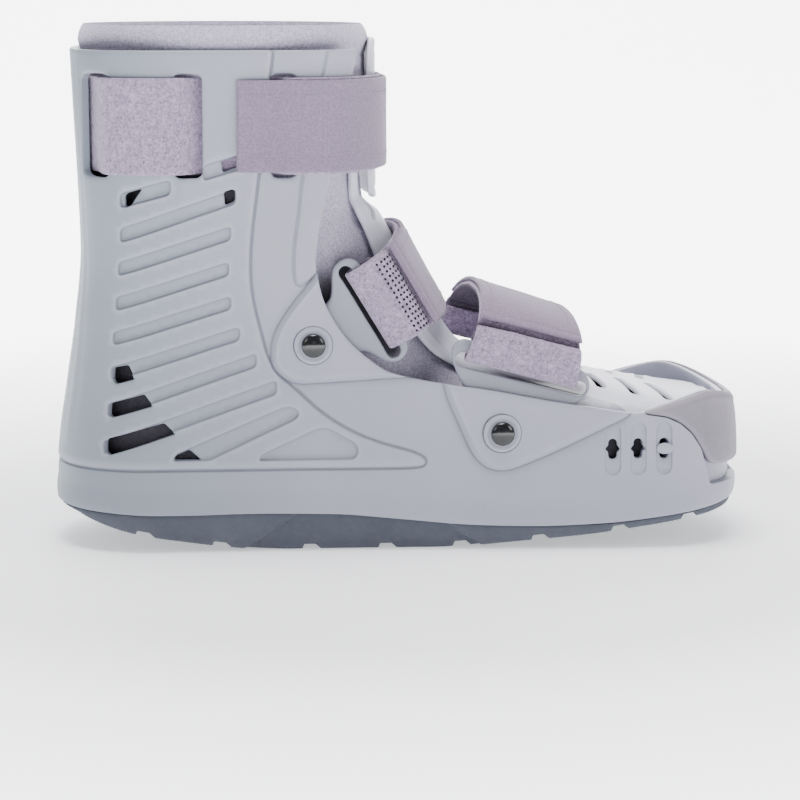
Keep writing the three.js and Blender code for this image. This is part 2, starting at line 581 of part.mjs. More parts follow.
// The shin strap runs outside the shell, dives in through a slot, and comes out again. Each row
// is a place along the half strap from the heel to the front. cap is the angle round the heel or
// front end, in degrees from its middle, or null on the side; x is the place on the side; out is
// how far the strap's inner face lies outside the side wall.
const SHIN_RUN = rows(["cap", "x", "out"], [
  [0, "back", -5.5], [14, "back", -5.5], [26, "back", -5.5], [35, "back", -5.5],
  [null, -0.4187, 1.5], [null, -0.4003, 1.8], [null, -0.3786, 1.6], [null, -0.3271, 1.3], [null, -0.2896, -5.5],
  [null, -0.2414, -5.5], [null, -0.1933, -5.5], [null, -0.1598, 1.4], [72, "front", 1.4],
  [56, "front", 1.2], [40, "front", 0.9], [26, "front", 0.8], [13, "front", 0.7], [0, "front", 0.7],
]);
const COVER_RUN = rows(["cap", "x", "out"], [
  [null, -0.2414, 1.4], [null, -0.2013, 2.1], [null, -0.1612, 3.9], [72, "front", 3.9],
  [56, "front", 3.6], [40, "front", 3.3], [26, "front", 3.2], [13, "front", 3.1],
  [0, "front", 3.1],
]);
const SHIN_SLOTS = rows(["from", "to"], [
  [-0.4521, -0.4154], [-0.3284, -0.2883], [-0.1946, -0.1578],
]);
const SHIN_STRAP_THICKNESS = 1.9;
function runPoint(row, z) {
  const m = level(z);
  if (row.cap === null) {
    const x = row.x * LENGTH;
    const end = Math.max(0, 1 - (x - m.back) / m.backCap);
    const y = smooth(STATIONS, m.widths, x) * (1 - end ** m.backPower) ** (1 / m.backPower);
    return [x, y + row.out, z];
  }
  const a = (row.cap * Math.PI) / 180;
  const heel = row.x === "back";
  const power = heel ? m.backPower : m.frontPower;
  const cap = (heel ? m.backCap : m.frontCap) + row.out * 0.5;
  const along = cap * (1 - Math.abs(Math.cos(a)) ** (2 / power));
  const x = heel ? m.back - row.out + along : m.front + row.out - along;
  const wide = smooth(STATIONS, m.widths, x) + row.out;
  return [x, wide * Math.sign(Math.sin(a)) * Math.abs(Math.sin(a)) ** (2 / power), z];
}
function shinGrid(run, heights, loop) {
  const line = (z) => {
    const half = run.map((row) => runPoint(row, z)).map(([x, y]) => [x, -y, z]);
    return [...half, ...half.slice(loop ? 1 : 0, -1).reverse().map(([x, y]) => [x, -y, z])];
  };
  const lines = heights.map(line);
  return lines[0].map((_, i) => lines.map((l) => l[i]));
}

// A lower strap: tail inside the loop's bar, a turn through the slot, up over the bar, across
// the foot, and the same down the other side. s runs from the rear to the front edge.
const TURN_RADIUS = 1.7;
const ARCH_POWER = 2.15;
const TAIL = 12;
function strapPath(slot, top, s) {
  const mix = (a, b) => a + (b - a) * s;
  const start = [mix(slot.rear[0], slot.front[0]) * LENGTH,
    mix(slot.rear[1], slot.front[1]) * HEIGHT];
  const crown = [mix(top.rear[0], top.front[0]) * LENGTH,
    mix(top.rear[1], top.front[1]) * HEIGHT];
  const rise = Math.hypot(crown[0] - start[0], crown[1] - start[1]);
  const up = [(crown[0] - start[0]) / rise, (crown[1] - start[1]) / rise];
  const at = (a, out) => {
    const [x, z] = [start[0] + up[0] * a, start[1] + up[1] * a];
    return [x, -(wallY(x, z) + out), z];
  };
  const bar = LOOP_SLOT_HALF;
  const mid = -LOOP_OUT - LOOP_THICKNESS / 2;
  const near = [at(TAIL, mid - TURN_RADIUS), at(bar + 4, mid - TURN_RADIUS)];
  for (const turn of [0, 45, 90, 135, 180]) {
    const a = (turn * Math.PI) / 180;
    near.push(at(bar - TURN_RADIUS * Math.sin(a), mid - TURN_RADIUS * Math.cos(a)));
  }
  const foot = at(bar + LOOP_BAR + 0.4, mid + TURN_RADIUS);
  near.push(foot);
  for (const turn of [14, 28, 42, 56, 70]) {
    const a = (turn * Math.PI) / 180;
    const lift = Math.sin(a) ** (2 / ARCH_POWER);
    near.push([foot[0] + (crown[0] - foot[0]) * lift, foot[1] * Math.cos(a) ** (2 / ARCH_POWER),
      foot[2] + (crown[1] - foot[2]) * lift]);
  }
  const far = near.map(([x, y, z]) => [x, -y, z]).reverse();
  return [...near, [crown[0], 0, crown[1]], ...far];
}
const PATH_TAIL = 7;          // path points before the strap leaves the bar
function strapGrid(slot, top, from = 0.02, to = 0.98, bands = 3) {
  const lines = Array.from({ length: bands + 1 }, (_, j) => strapPath(slot, top,
    to - ((to - from) * j) / bands));
  return lines[0].map((_, i) => lines.map((l) => l[i]));
}
// Thickness of the padded layer along the path: thin through the slot, full over the foot.
const FLEECE = { turn: 2, roll: 4.2, arch: 3.2 };
function fleeceThickness(i, count) {
  const k = Math.min(i, count - 1 - i);
  if (k < PATH_TAIL) return FLEECE.turn;
  if (k === PATH_TAIL) return FLEECE.turn + 0.8;
  if (k <= PATH_TAIL + 2) return FLEECE.roll;
  return FLEECE.arch;
}
const COVER = 1.8;
const COVER_FROM = PATH_TAIL + 3;

function lowerStrap(slot, top) {
  const grid = strapGrid(slot, top);
  const n = grid.length;
  const thick = (u) => fleeceThickness(Math.round(u * (n - 1)), n);
  const fleece = sheet(grid, 0, thick);
  const span = grid.slice(COVER_FROM, n - COVER_FROM);
  const cover = sheet(span, FLEECE.arch + GAP, FLEECE.arch + GAP + COVER);
  const tight = strapGrid(slot, top, -0.01, 1.01);
  const room = sheet(tight, -GAP, (u) => thick(u) + GAP);
  return { fleece, cover, room };
}

function makeLoop(loopOutline, slot) {
  const plate = shellBand(-LOOP_OUT, -LOOP_OUT - LOOP_THICKNESS)
    .intersect(across(place(loopOutline), -REACH, 0));
  const ends = [slot.rear, slot.front].map(([x, z]) => [x * LENGTH, z * HEIGHT]);
  return plate.subtract(across(stadium(ends[0], ends[1], LOOP_SLOT_HALF)));
}

function makeRivet(r) {
  const [x, z] = [r.x * LENGTH, r.z * HEIGHT];
  const seat = wallY(x, z) + BOSS_RISE - 0.5;
  const R = RIVET_RADIUS;
  const inner = -(BOSS_RISE - 0.5 + LOOP_OUT + LOOP_THICKNESS) + 0.3;
  const head = turned([[SHANK_RADIUS, inner], [SHANK_RADIUS, 1.7], [R, 1.7], [R, 2.3],
    [R * 0.8, 3.6], [R * 0.3, 4.4]], x, z, -seat, -1);
  const washer = turned([[WASHER_RADIUS, 0.15], [WASHER_RADIUS, 0.9], [WASHER_RADIUS - 0.6, 1.45],
    [0.1, 1.45]], x, z, -seat, -1)
    .subtract(across(stadium([x - 0.01, z], [x + 0.01, z], SHANK_RADIUS + 0.3, 5)));
  const hole = across(stadium([x - 0.01, z], [x + 0.01, z], SHANK_RADIUS + 0.3, 5));
  return { head, washer, hole };
}

// Places along the ring fan where the liner and the front plate both have a row.
const FAN = [0, 1, 2, 3, 4, 5, 6, 7, 8, 9, 10, 11, 12, 13, 13.4];
function makeLiner(rooms) {
  const steps = 24;
  const at = FAN;
  const outerRings = at.map((r) => ring(r, 0, steps));
  const innerRings = at.map((r) => ring(r, -LINER_WALL, steps));
  innerRings.unshift(innerRings[0].map(([x, y, z]) => [x, y, z + 12]));
  const last = innerRings[innerRings.length - 1];
  const ahead = last.map(([x, y, z]) => [x + 12, y, z]);
  innerRings.push(ahead);
  const hollow = across(cavityProfile);
  const outer = loft(outerRings).intersect(form(-LINER_OUT))
    .intersect(across(cavityProfile.map(([x, z]) => [x, z + GAP])))
    .subtract(across(place(TOE_BACKING).map(([x, z]) => [x - 1.5, z + 1.5]))
      .subtract(form(-TOE_SET_IN - WALL - GAP)));
  const inner = loft(innerRings).intersect(form(-LINER_OUT - LINER_WALL))
    .intersect(across(cavityProfile.map(([x, z]) => [x, z + LINER_WALL])));
  let liner = outer.subtract(inner);
  for (const room of rooms) liner = liner.subtract(room);
  return liner;
}

function makeFrontPlate() {
  const share = [-1, -0.86, -0.6, -0.3, 0, 0.3, 0.6, 0.86, 1];
  const rowsAt = [1.9, 2.5, ...FAN.filter((r) => r > 2.6), RINGS.length - 1];
  const grid = rowsAt.map((r) => share.map((s) => ringPoint(r, s * ringAt(r).plate,
    PLATE_GAP)));
  let plate = sheet(grid, 0, PLATE_THICKNESS).intersect(form(-9.5));
  for (const s of PLATE_SLOTS) {
    for (const side of [-1, 1]) {
      const [p, q] = [[s.inX * LENGTH, side * s.inY * HALF_WIDTH],
        [s.outX * LENGTH, side * s.outY * HALF_WIDTH]];
      const slot = prism(stadium(p, q, s.half), PLAN, 50, s.top * HEIGHT);
      plate = plate.subtract(slot);
    }
  }
  return plate;
}
const PLATE_SLOTS = rows(["inX", "inY", "outX", "outY", "half", "top"], [
  [0.2783, 0.1538, 0.2857, 0.5299, 1.5, 0.3604],
  [0.3238, 0.1538, 0.3338, 0.5641, 1.6, 0.3604],
  [0.3693, 0.1538, 0.3826, 0.5812, 1.6, 0.3604],
]);

// Shin plate: height and half width of each row.
const SHIN_ROWS = rows(["z", "half"], [
  [0.6667, 0.3419], [0.7027, 0.3846], [0.7748, 0.4017], [0.8559, 0.4017],
  [0.9189, 0.3846], [0.955, 0.3248], [0.973, 0.2393],
]);
function makeShinPlate() {
  const heights = SHIN_ROWS.map((row) => row.z * HEIGHT);
  const widths = SHIN_ROWS.map((row) => row.half * HALF_WIDTH);
  const share = [1, 0.7, 0.35, 0, -0.35, -0.7, -1];
  const grid = heights.map((z, i) => {
    const m = level(z);
    return share.map((s) => {
      const y = s * widths[i];
      const wide = m.widths[1];
      const x = m.front - m.frontCap
        * (1 - (1 - (Math.abs(y) / wide) ** m.frontPower) ** (1 / m.frontPower));
      return [x, y, z];
    });
  });
  return sheet(grid, -SHIN_THICKNESS, 0);
}

const mirrored = (m) => m.mirror([0, 1, 0]);
const instep = lowerStrap(INSTEP_SLOT, INSTEP_TOP);
const ball = lowerStrap(BALL_SLOT, BALL_TOP);
const shinHeights = [STRAP_Z[0], STRAP_Z[1]];
const shin = sheet(shinGrid(SHIN_RUN, shinHeights, true), 0, SHIN_STRAP_THICKNESS, true);
const shinRoom = sheet(shinGrid(SHIN_RUN, [STRAP_Z[0] - 0.6, STRAP_Z[1] + 0.6], true), -GAP,
  SHIN_STRAP_THICKNESS + 2, true);
const shinCover = sheet(shinGrid(COVER_RUN, [STRAP_Z[0] + 1, STRAP_Z[1] - 1], false), 0,
  SHIN_STRAP_THICKNESS);
const rivets = RIVETS.map(makeRivet);
const instepLoop = makeLoop(INSTEP_LOOP, INSTEP_SLOT).subtract(rivets[0].hole);
const ballLoop = makeLoop(BALL_LOOP, BALL_SLOT).subtract(rivets[1].hole);
const pinX = PIN.x * LENGTH;
const pinZ = PIN.z * HEIGHT;
const pinY = -(wallY(pinX, pinZ) - KEY_DEPTH + 0.3);
const toePin = prism(stadium([pinX - 0.8, pinZ], [pinX + 0.8, pinZ], 2.6, 5), SIDE, pinY - 1.9,
  pinY).add(prism(stadium([pinX, pinZ - 1.6], [pinX, pinZ + 1.6], 1.5), SIDE, pinY - 0.2,
  pinY + 3));

// Colours as base colour, roughness.
const FINISHES = {
  shell: [0x99a2ad, 0.55],
  sole: [0x565e68, 0.85],
  bumper: [0x999ca0, 0.6],
  plate: [0xb9bac4, 0.5],
  loop: [0xb4b4bb, 0.5],
  rivet: [0x1d1f26, 0.25],
  padding: [0x8f8a98, 0.95],
  strap: [0xa39da9, 0.95],
  cover: [0x9b95a2, 0.85],
};
const boot = new THREE.Group();
boot.name = "walking_boot";
// tolerance is how far a face may move when flat neighbours are joined into larger ones.
function addPiece(name, solid, finish, tolerance = 0.08) {
  const tidy = solid.asOriginal().simplify(tolerance);
  const { vertProperties, triVerts } = tidy.getMesh();
  const geometry = new THREE.BufferGeometry();
  geometry.setAttribute("position", new THREE.BufferAttribute(new Float32Array(vertProperties), 3));
  geometry.setIndex(new THREE.BufferAttribute(new Uint32Array(triVerts), 1));
  geometry.computeVertexNormals();
  const [color, roughness] = FINISHES[finish];
  const mesh = new THREE.Mesh(geometry, new THREE.MeshStandardMaterial({ color, roughness }));
  mesh.name = name;
  boot.add(mesh);
}
addPiece("outsole", makeOutsole(), "sole");
addPiece("shell", makeShell(), "shell", 0.16);
addPiece("toe_bumper", makeBumper(), "bumper");
addPiece("liner", makeLiner([instep.room, ball.room, shinRoom]), "padding", 0.2);
addPiece("front_plate", makeFrontPlate(), "plate");
addPiece("shin_plate", makeShinPlate(), "plate");
for (const [name, loop, rivet] of [["instep", instepLoop, rivets[0]], ["ball", ballLoop,
  rivets[1]]]) {
  for (const [side, turn] of [["right", (m) => m], ["left", mirrored]]) {
    addPiece(`${name}_loop_${side}`, turn(loop), "loop");
    addPiece(`${name}_rivet_${side}`, turn(rivet.head), "rivet");
    addPiece(`${name}_washer_${side}`, turn(rivet.washer), "shell");
  }
}
addPiece("toe_pin_right", toePin, "loop");
addPiece("toe_pin_left", mirrored(toePin), "loop");
addPiece("instep_strap", instep.fleece, "strap");
addPiece("instep_strap_cover", instep.cover, "cover");
addPiece("ball_strap", ball.fleece, "strap");
addPiece("ball_strap_cover", ball.cover, "cover");
addPiece("shin_strap", shin, "strap");
addPiece("shin_strap_cover", shinCover, "cover");

export default boot;
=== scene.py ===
"""Medical walking boot, dressed for rendering. Lengths in the tables are millimetres in the
frame of the CAD model: +X to the toe, -Y the right side, which faces the camera, +Z up."""

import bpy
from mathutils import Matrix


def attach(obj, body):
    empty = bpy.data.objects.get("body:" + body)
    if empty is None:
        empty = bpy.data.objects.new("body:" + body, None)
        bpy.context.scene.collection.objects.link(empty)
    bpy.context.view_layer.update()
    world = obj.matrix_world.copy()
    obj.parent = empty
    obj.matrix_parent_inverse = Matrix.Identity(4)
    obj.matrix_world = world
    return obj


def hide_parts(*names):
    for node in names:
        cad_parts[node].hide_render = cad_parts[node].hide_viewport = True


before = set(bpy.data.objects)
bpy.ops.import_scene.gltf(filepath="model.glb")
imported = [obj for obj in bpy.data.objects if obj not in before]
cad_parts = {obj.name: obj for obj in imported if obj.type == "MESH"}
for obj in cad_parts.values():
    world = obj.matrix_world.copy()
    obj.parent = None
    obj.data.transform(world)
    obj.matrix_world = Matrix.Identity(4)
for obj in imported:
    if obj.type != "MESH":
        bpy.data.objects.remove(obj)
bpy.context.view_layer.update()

import math
import bmesh
import bpy
import numpy as np
from mathutils import Vector
from mathutils.geometry import delaunay_2d_cdt

bl_info = {
    "name": "Walking boot",
    "version": (1, 0, 0),
    "blender": (4, 5, 0),
    "location": "3D View > Sidebar > Walking boot",
    "description": "Makes a rigid walking boot with its liner, plates, loops and straps",
    "category": "Object",
}

MM = 0.001
# What stands for a long way off, a margin that takes in every point, and how many pairs of a
# point and an edge are compared at a time.
FAR = 99.0
EVERYWHERE = 1e6
MOST_PAIRS = 3000000

# Plan outlines of the boot from the floor up: height; back and front; half widths at the four
# stations; lengths of the back and front ends; how square the two ends are.
LEVELS = np.array([
    (0.0, -145.7, 146.3, 45.2, 47.2, 50.4, 55.4, 46.0, 46.0, 2.3, 2.5),
    (16.0, -149.2, 147.8, 47.3, 49.0, 52.5, 57.4, 46.0, 46.0, 2.3, 2.55),
    (25.0, -149.4, 148.8, 47.8, 49.4, 53.0, 57.9, 46.0, 46.0, 2.3, 2.6),
    (37.0, -148.2, 149.0, 47.4, 49.1, 52.8, 57.6, 45.0, 45.0, 2.35, 2.6),
    (51.0, -146.6, 148.4, 46.5, 48.5, 52.0, 56.7, 44.0, 45.0, 2.4, 2.6),
    (62.0, -144.8, 146.4, 46.0, 48.2, 51.6, 55.8, 43.0, 44.0, 2.45, 2.6),
    (76.0, -142.7, 143.8, 45.8, 48.2, 51.2, 54.8, 41.0, 43.0, 2.5, 2.6),
    (92.0, -140.2, 142.8, 46.2, 48.9, 51.2, 53.6, 39.0, 42.0, 2.6, 2.6),
    (99.0, -139.4, 60.8, 46.6, 49.4, 51.3, 53.0, 38.0, 42.0, 2.65, 2.3),
    (112.0, -137.8, 34.8, 47.6, 50.4, 51.6, 52.4, 37.0, 42.0, 2.7, 2.2),
    (126.0, -136.8, 20.8, 49.0, 51.8, 52.2, 52.2, 37.0, 42.0, 2.8, 2.2),
    (150.0, -137.4, -9.8, 51.2, 53.6, 54.0, 54.0, 37.0, 36.0, 2.8, 2.2),
    (190.0, -139.1, -10.2, 54.2, 56.2, 56.4, 56.4, 38.0, 40.0, 2.8, 2.2),
    (230.0, -140.8, -10.2, 56.6, 58.2, 58.2, 58.2, 39.0, 42.0, 2.8, 2.2),
])
# x of the four stations.
STATIONS = np.array([-119.2, -49.2, 20.8, 85.8])

# Rings that fan round the instep from the collar to the toe: front x and z, back x and z,
# half width, squareness, half width of the front plate.
RINGS = np.array([
    (-14.1, 222.0, -137.1, 222.0, 54.0, 2.2, 24.0),
    (-14.2, 190.0, -135.6, 190.0, 52.4, 2.2, 24.0),
    (-16.8, 162.0, -134.4, 160.0, 50.6, 2.2, 24.0),
    (-14.8, 147.0, -133.8, 139.0, 49.6, 2.2, 25.0),
    (-9.0, 135.0, -133.4, 118.0, 48.6, 2.25, 27.0),
    (-0.7, 118.0, -135.8, 96.0, 47.8, 2.3, 31.0),
    (11.3, 97.0, -139.8, 70.0, 47.6, 2.4, 37.0),
    (24.3, 81.5, -143.2, 42.0, 48.0, 2.5, 41.0),
    (43.8, 73.0, -127.2, 22.6, 49.0, 2.7, 43.0),
    (63.8, 68.3, -39.2, 20.9, 51.0, 2.9, 45.0),
    (84.8, 64.9, 40.8, 17.0, 53.0, 3.1, 49.0),
    (102.8, 61.2, 84.8, 17.5, 53.5, 3.2, 51.5),
    (118.8, 58.4, 113.8, 20.5, 52.5, 3.2, 51.0),
    (132.8, 56.6, 131.8, 23.0, 49.0, 3.2, 47.5),
    (143.8, 55.2, 143.8, 25.0, 44.0, 3.2, 42.5),
])

# Side view outlines, x and z.
SHELL_BOTTOM = [
    (-157.2, 18.4), (-142.2, 17.7), (-125.2, 17.0), (-111.2, 16.4), (-93.2, 16.3), (-67.8, 16.7),
    (-33.2, 16.2), (-3.2, 13.6), (29.8, 10.6), (54.8, 10.0), (83.8, 11.2), (117.8, 14.8),
    (136.8, 17.2), (160.8, 19.8),
]
SHELL_EDGE = [
    (160.8, 56.0), (149.8, 60.2), (143.8, 62.8), (138.0, 65.0), (131.0, 66.4), (124.1, 65.3),
    (109.4, 61.6), (100.4, 58.6), (93.9, 58.2), (89.6, 59.6), (58.1, 64.2), (31.6, 69.6),
    (14.2, 71.2), (-7.4, 76.0), (-13.8, 79.9), (-23.4, 87.6), (-30.1, 95.8), (-36.0, 106.4),
    (-38.8, 117.0), (-39.7, 126.0), (-37.1, 144.0), (-33.2, 160.6), (-21.2, 212.0),
]
PANEL = [
    (-200.0, 36.3), (4.8, 36.3), (7.4, 38.4), (4.0, 41.8), (-12.1, 46.1), (-23.5, 50.6),
    (-36.6, 58.6), (-48.2, 69.9), (-55.2, 76.0), (-60.2, 84.0), (-63.0, 95.0), (-66.0, 107.0),
    (-67.4, 119.0), (-66.8, 135.0), (-63.2, 163.0), (-55.2, 230.0), (-200.0, 230.0),
]
FLANGE = [
    (-30.0, 230.0), (-44.5, 162.0), (-46.5, 142.0), (-48.2, 130.0), (-48.4, 120.0), (-46.8, 112.6),
    (-36.0, 122.0), (-20.0, 134.0), (20.0, 230.0),
]
INSTEP_BOSS = [
    (-33.5, 126.0), (-51.7, 103.0), (-57.2, 93.4), (-58.5, 83.6), (-56.6, 78.0), (-49.4, 72.1),
    (-25.3, 73.4), (-5.2, 74.6), (24.8, 76.0), (10.0, 119.0),
]
BALL_BOSS = [
    (14.1, 84.0), (14.4, 69.6), (20.3, 56.4), (26.0, 43.1), (30.4, 37.4), (35.5, 34.8),
    (41.8, 34.6), (48.6, 37.0), (64.3, 43.7), (83.2, 52.8), (95.8, 58.6), (100.0, 70.0),
    (60.8, 84.0),
]
BUMPER = [
    (100.3, 80.0), (100.3, 58.2), (109.8, 56.9), (116.1, 53.9), (121.4, 49.3), (125.8, 42.4),
    (130.1, 34.4), (190.8, 34.4), (190.8, 80.0),
]
TOE_RECESS = [
    (100.0, 90.0), (100.0, 57.9), (109.7, 56.5), (115.8, 53.6), (121.1, 49.0), (125.5, 42.2),
    (130.2, 26.4), (190.8, 26.4), (190.8, 90.0),
]
# Outsole in side view: the set-in waist, the walking surface and the middles of its grooves.
WAIST = [(-79.2, -2.0), (-43.7, 18.0), (8.8, 18.0), (30.8, -2.0)]
TREAD = np.array([
    (-146.2, 16.8), (-139.9, 15.4), (-136.0, 13.6), (-130.7, 11.6), (-124.2, 9.4), (-117.2, 7.6),
    (-110.2, 6.2), (-98.4, 4.3), (-88.8, 2.8), (-79.7, 1.6), (-67.8, 0.6), (-54.2, 0.0),
    (6.8, 0.0), (17.8, 0.6), (29.8, 1.6), (40.8, 2.6), (52.8, 3.7), (68.1, 5.1), (77.8, 6.2),
    (91.8, 8.1), (108.2, 10.3), (118.8, 11.8), (130.1, 13.1), (138.8, 14.2), (146.8, 15.2),
    (158.8, 16.6),
])
GROOVES = [-113.8, -83.2, -45.7, -13.2, 18.8, 53.2, 88.8, 120.8]

# Slanted slots of the panel: left and right end, middle height at each end, height.
SLOTS = [
    (-120.4, -99.4, 150.1, 156.0, 6.6), (-86.4, -68.0, 161.5, 167.0, 6.8),
    (-120.6, -72.5, 135.4, 152.0, 6.6), (-121.6, -74.7, 121.2, 136.6, 6.2),
    (-122.8, -75.6, 106.4, 121.6, 6.2), (-124.2, -74.8, 91.6, 107.2, 6.1),
    (-125.4, -71.2, 76.6, 94.0, 6.2), (-127.0, -64.2, 60.8, 82.6, 6.2),
    (-129.0, -55.8, 45.0, 71.0, 6.4),
]
TAIL_SLOT = [
    (-100.4, 39.6), (-99.0, 43.0), (-53.2, 62.4), (-49.2, 62.8), (-46.0, 59.6), (-48.2, 56.8),
    (-84.6, 39.8),
]
TRIANGLE = [
    (-64.4, 39.4), (-62.2, 42.6), (-38.6, 53.4), (-34.2, 53.4), (-22.4, 46.6), (-21.2, 43.4),
    (-23.0, 39.6),
]
# Parts of the slots that go right through the shell.
WINDOWS = [
    [(-119.0, 151.8), (-118.2, 153.2), (-111.4, 155.2), (-116.4, 147.9), (-118.6, 147.5)],
    [(-77.6, 153.8), (-74.2, 155.0), (-73.0, 154.4), (-73.0, 150.6), (-73.9, 149.4), (-77.2, 148.2)],
    [(-78.6, 166.4), (-78.0, 161.9), (-69.4, 164.8), (-69.4, 169.0)],
    [(-124.6, 79.2), (-118.3, 80.6), (-115.4, 74.6), (-123.4, 72.2), (-124.8, 74.0)],
    [(-126.2, 64.0), (-111.6, 68.2), (-108.0, 63.2), (-125.2, 57.9), (-126.5, 59.0)],
    [(-128.2, 48.2), (-127.0, 49.2), (-103.4, 56.0), (-98.7, 51.3), (-126.8, 41.9), (-128.3, 43.4)],
    [(-99.4, 40.4), (-98.6, 42.2), (-92.9, 44.6), (-88.0, 40.2)],
]
# Shin strap's slots, rear and front x; its lower and upper edge; keyholes and rivets, x and z.
SHIN_SLOTS = [(-135.2, -124.2), (-98.2, -86.2), (-58.2, -47.2)]
STRAP_Z = (161.0, 201.0)
KEYS = [(86.4, 43.2), (97.4, 43.2), (108.6, 43.2)]
RIVETS = [(-40.7, 88.9), (39.1, 50.7)]
INSTEP_LOOP = [
    (-35.6, 105.2), (-32.6, 109.0), (-32.8, 118.9), (-31.4, 122.4), (-28.2, 124.9), (-24.8, 125.4),
    (-21.0, 123.4), (-0.1, 88.8), (-0.9, 84.4), (-4.2, 81.2), (-8.4, 80.6), (-13.2, 82.8),
    (-19.2, 86.6), (-26.2, 82.6), (-35.2, 79.0), (-44.2, 79.6), (-50.2, 85.0), (-50.2, 92.0),
    (-45.2, 98.6),
]
BALL_LOOP = [
    (31.8, 50.0), (27.8, 60.0), (23.2, 70.0), (19.2, 78.0), (17.6, 85.0), (19.2, 89.0),
    (23.0, 90.8), (27.2, 89.6), (71.2, 78.2), (75.2, 75.2), (77.0, 70.4), (75.0, 65.6),
    (70.2, 61.6), (60.8, 55.0), (50.8, 46.6), (44.8, 42.0), (38.8, 40.8), (33.8, 43.6),
]
# Lower straps: the loop slot and the crown of the strap at mid foot, rear and front edge.
LOWER = {
    "instep": dict(slot=((-26.8, 119.6), (-6.6, 86.4)), top=((-3.8, 135.2), (16.4, 98.6))),
    "ball": dict(slot=((22.4, 82.4), (72.4, 69.4)), top=((32.0, 105.9), (74.6, 91.7))),
}
# Loops: half width of the slot, how far in the outer face lies, thickness, width of the bar.
LOOP_SLOT_HALF = 2.6
LOOP_OUT = 0.85
LOOP_THICKNESS = 2.5
LOOP_BAR = 4.4
# Path of a lower strap: radius of the turn round the bar, squareness of the arch over the foot,
# length of the tail inside, and rows of points on the part by the bar and on half the arch.
TURN_RADIUS = 1.7
ARCH_POWER = 2.15
TAIL = 12.0
TAIL_ROWS = 30
ARCH_ROWS = 76
# How far the corners of the outlines are rounded.
PANEL_ROUND = 14.0
FLANGE_ROUND = 9.0
BOSS_ROUND = 7.0
LOOP_ROUND = 6.0
# Upright lines beside the heel, by length round the form from its centre.
HEEL_LINES = (17.0, 27.0)
# Keyway: half height and half width. Seat of a rivet's washer: radius.
KEYWAY = (7.7, 3.4)
SEAT_RADIUS = 8.5
# Toe pin: middle, half length and half height, and how its rings grow and stand out.
PIN = (108.8, 43.3)
PIN_HALF = (3.7, 2.4)
PIN_RINGS = [(0.62, -2.4), (0.62, 0.0), (0.9, 0.1), (1.0, 0.5), (0.99, 0.95), (0.88, 1.3),
             (0.6, 1.5), (0.3, 1.55), (0.04, 1.56)]
# Washer in section: radius and how far out.
WASHER = [(2.9, 0.15), (8.0, 0.15), (8.1, 0.5), (7.9, 1.1), (7.3, 1.45), (6.5, 1.5), (6.0, 1.2),
          (5.5, 1.15), (2.9, 1.15)]
# Front plate slots: inner and outer end in plan, half width.
PLATE_SLOTS = [(83.2, 9.0, 85.4, 31.0, 1.7), (96.8, 9.0, 99.8, 33.0, 1.8),
               (110.4, 9.0, 114.4, 34.0, 1.8)]
# Slits near the plate's top: distance down the plate, inner and outer end in plan.
PLATE_SLITS = [(9.5, 13.5, 18.0), (20.0, 16.5, 22.0)]
# Liner's folds across the instep: height, depth, half width.
LINER_FOLDS = [(118.0, 1.5, 3.0), (99.0, 1.2, 2.4), (139.0, 1.0, 3.4), (88.0, 1.0, 2.0)]
# Shin plate: height and half width.
SHIN_ROWS = np.array([(148.0, 20.0), (156.0, 22.5), (172.0, 23.5), (190.0, 23.5), (204.0, 22.5),
                      (212.0, 19.0), (216.0, 14.0)])
# Shin strap along the half run: end angle in degrees or the place on the side, how far the
# inner face stands out from the side wall.
SHIN_RUN = [
    ("back", 0, -5.5), ("back", 14, -5.5), ("back", 26, -5.5), ("back", 35, -5.5),
    ("side", -125.2, 1.5), ("side", -119.7, 1.8), ("side", -113.2, 1.6), ("side", -97.8, 1.3),
    ("side", -86.6, -5.5), ("side", -72.2, -5.5), ("side", -57.8, -5.5), ("side", -47.8, 1.4),
    ("front", 72, 1.4), ("front", 56, 1.2), ("front", 40, 0.9), ("front", 26, 0.8),
    ("front", 13, 0.7), ("front", 0, 0.7),
]
COVER_RUN = [
    ("side", -72.2, 1.4), ("side", -60.2, 2.1), ("side", -48.2, 3.9), ("front", 72, 3.9),
    ("front", 56, 3.6), ("front", 40, 3.3), ("front", 26, 3.2), ("front", 13, 3.1),
    ("front", 0, 3.1),
]


# Curves and outlines

def through(xs, ys, x):
    """Smooth curve through table values that never overshoots them."""
    xs, ys, x = np.asarray(xs, float), np.asarray(ys, float), np.asarray(x, float)
    rate = np.diff(ys) / np.diff(xs)
    a, b = rate[:-1], rate[1:]
    mid = np.where(a * b > 0, 2 * a * b / np.where(a * b > 0, a + b, 1.0), 0.0)
    slope = np.concatenate([[rate[0]], mid, [rate[-1]]])
    x = np.clip(x, xs[0], xs[-1])
    k = np.clip(np.searchsorted(xs, x, side="left") - 1, 0, len(xs) - 2)
    h = xs[k + 1] - xs[k]
    t = (x - xs[k]) / h
    return ((2 * t ** 3 - 3 * t ** 2 + 1) * ys[k] + (t ** 3 - 2 * t ** 2 + t) * h * slope[k]
            + (3 * t ** 2 - 2 * t ** 3) * ys[k + 1] + (t ** 3 - t ** 2) * h * slope[k + 1])


def lengths_along(line):
    """Length run from the first point of a line to each of its points."""
    return np.concatenate([[0], np.cumsum(np.linalg.norm(np.diff(line, axis=0), axis=1))])


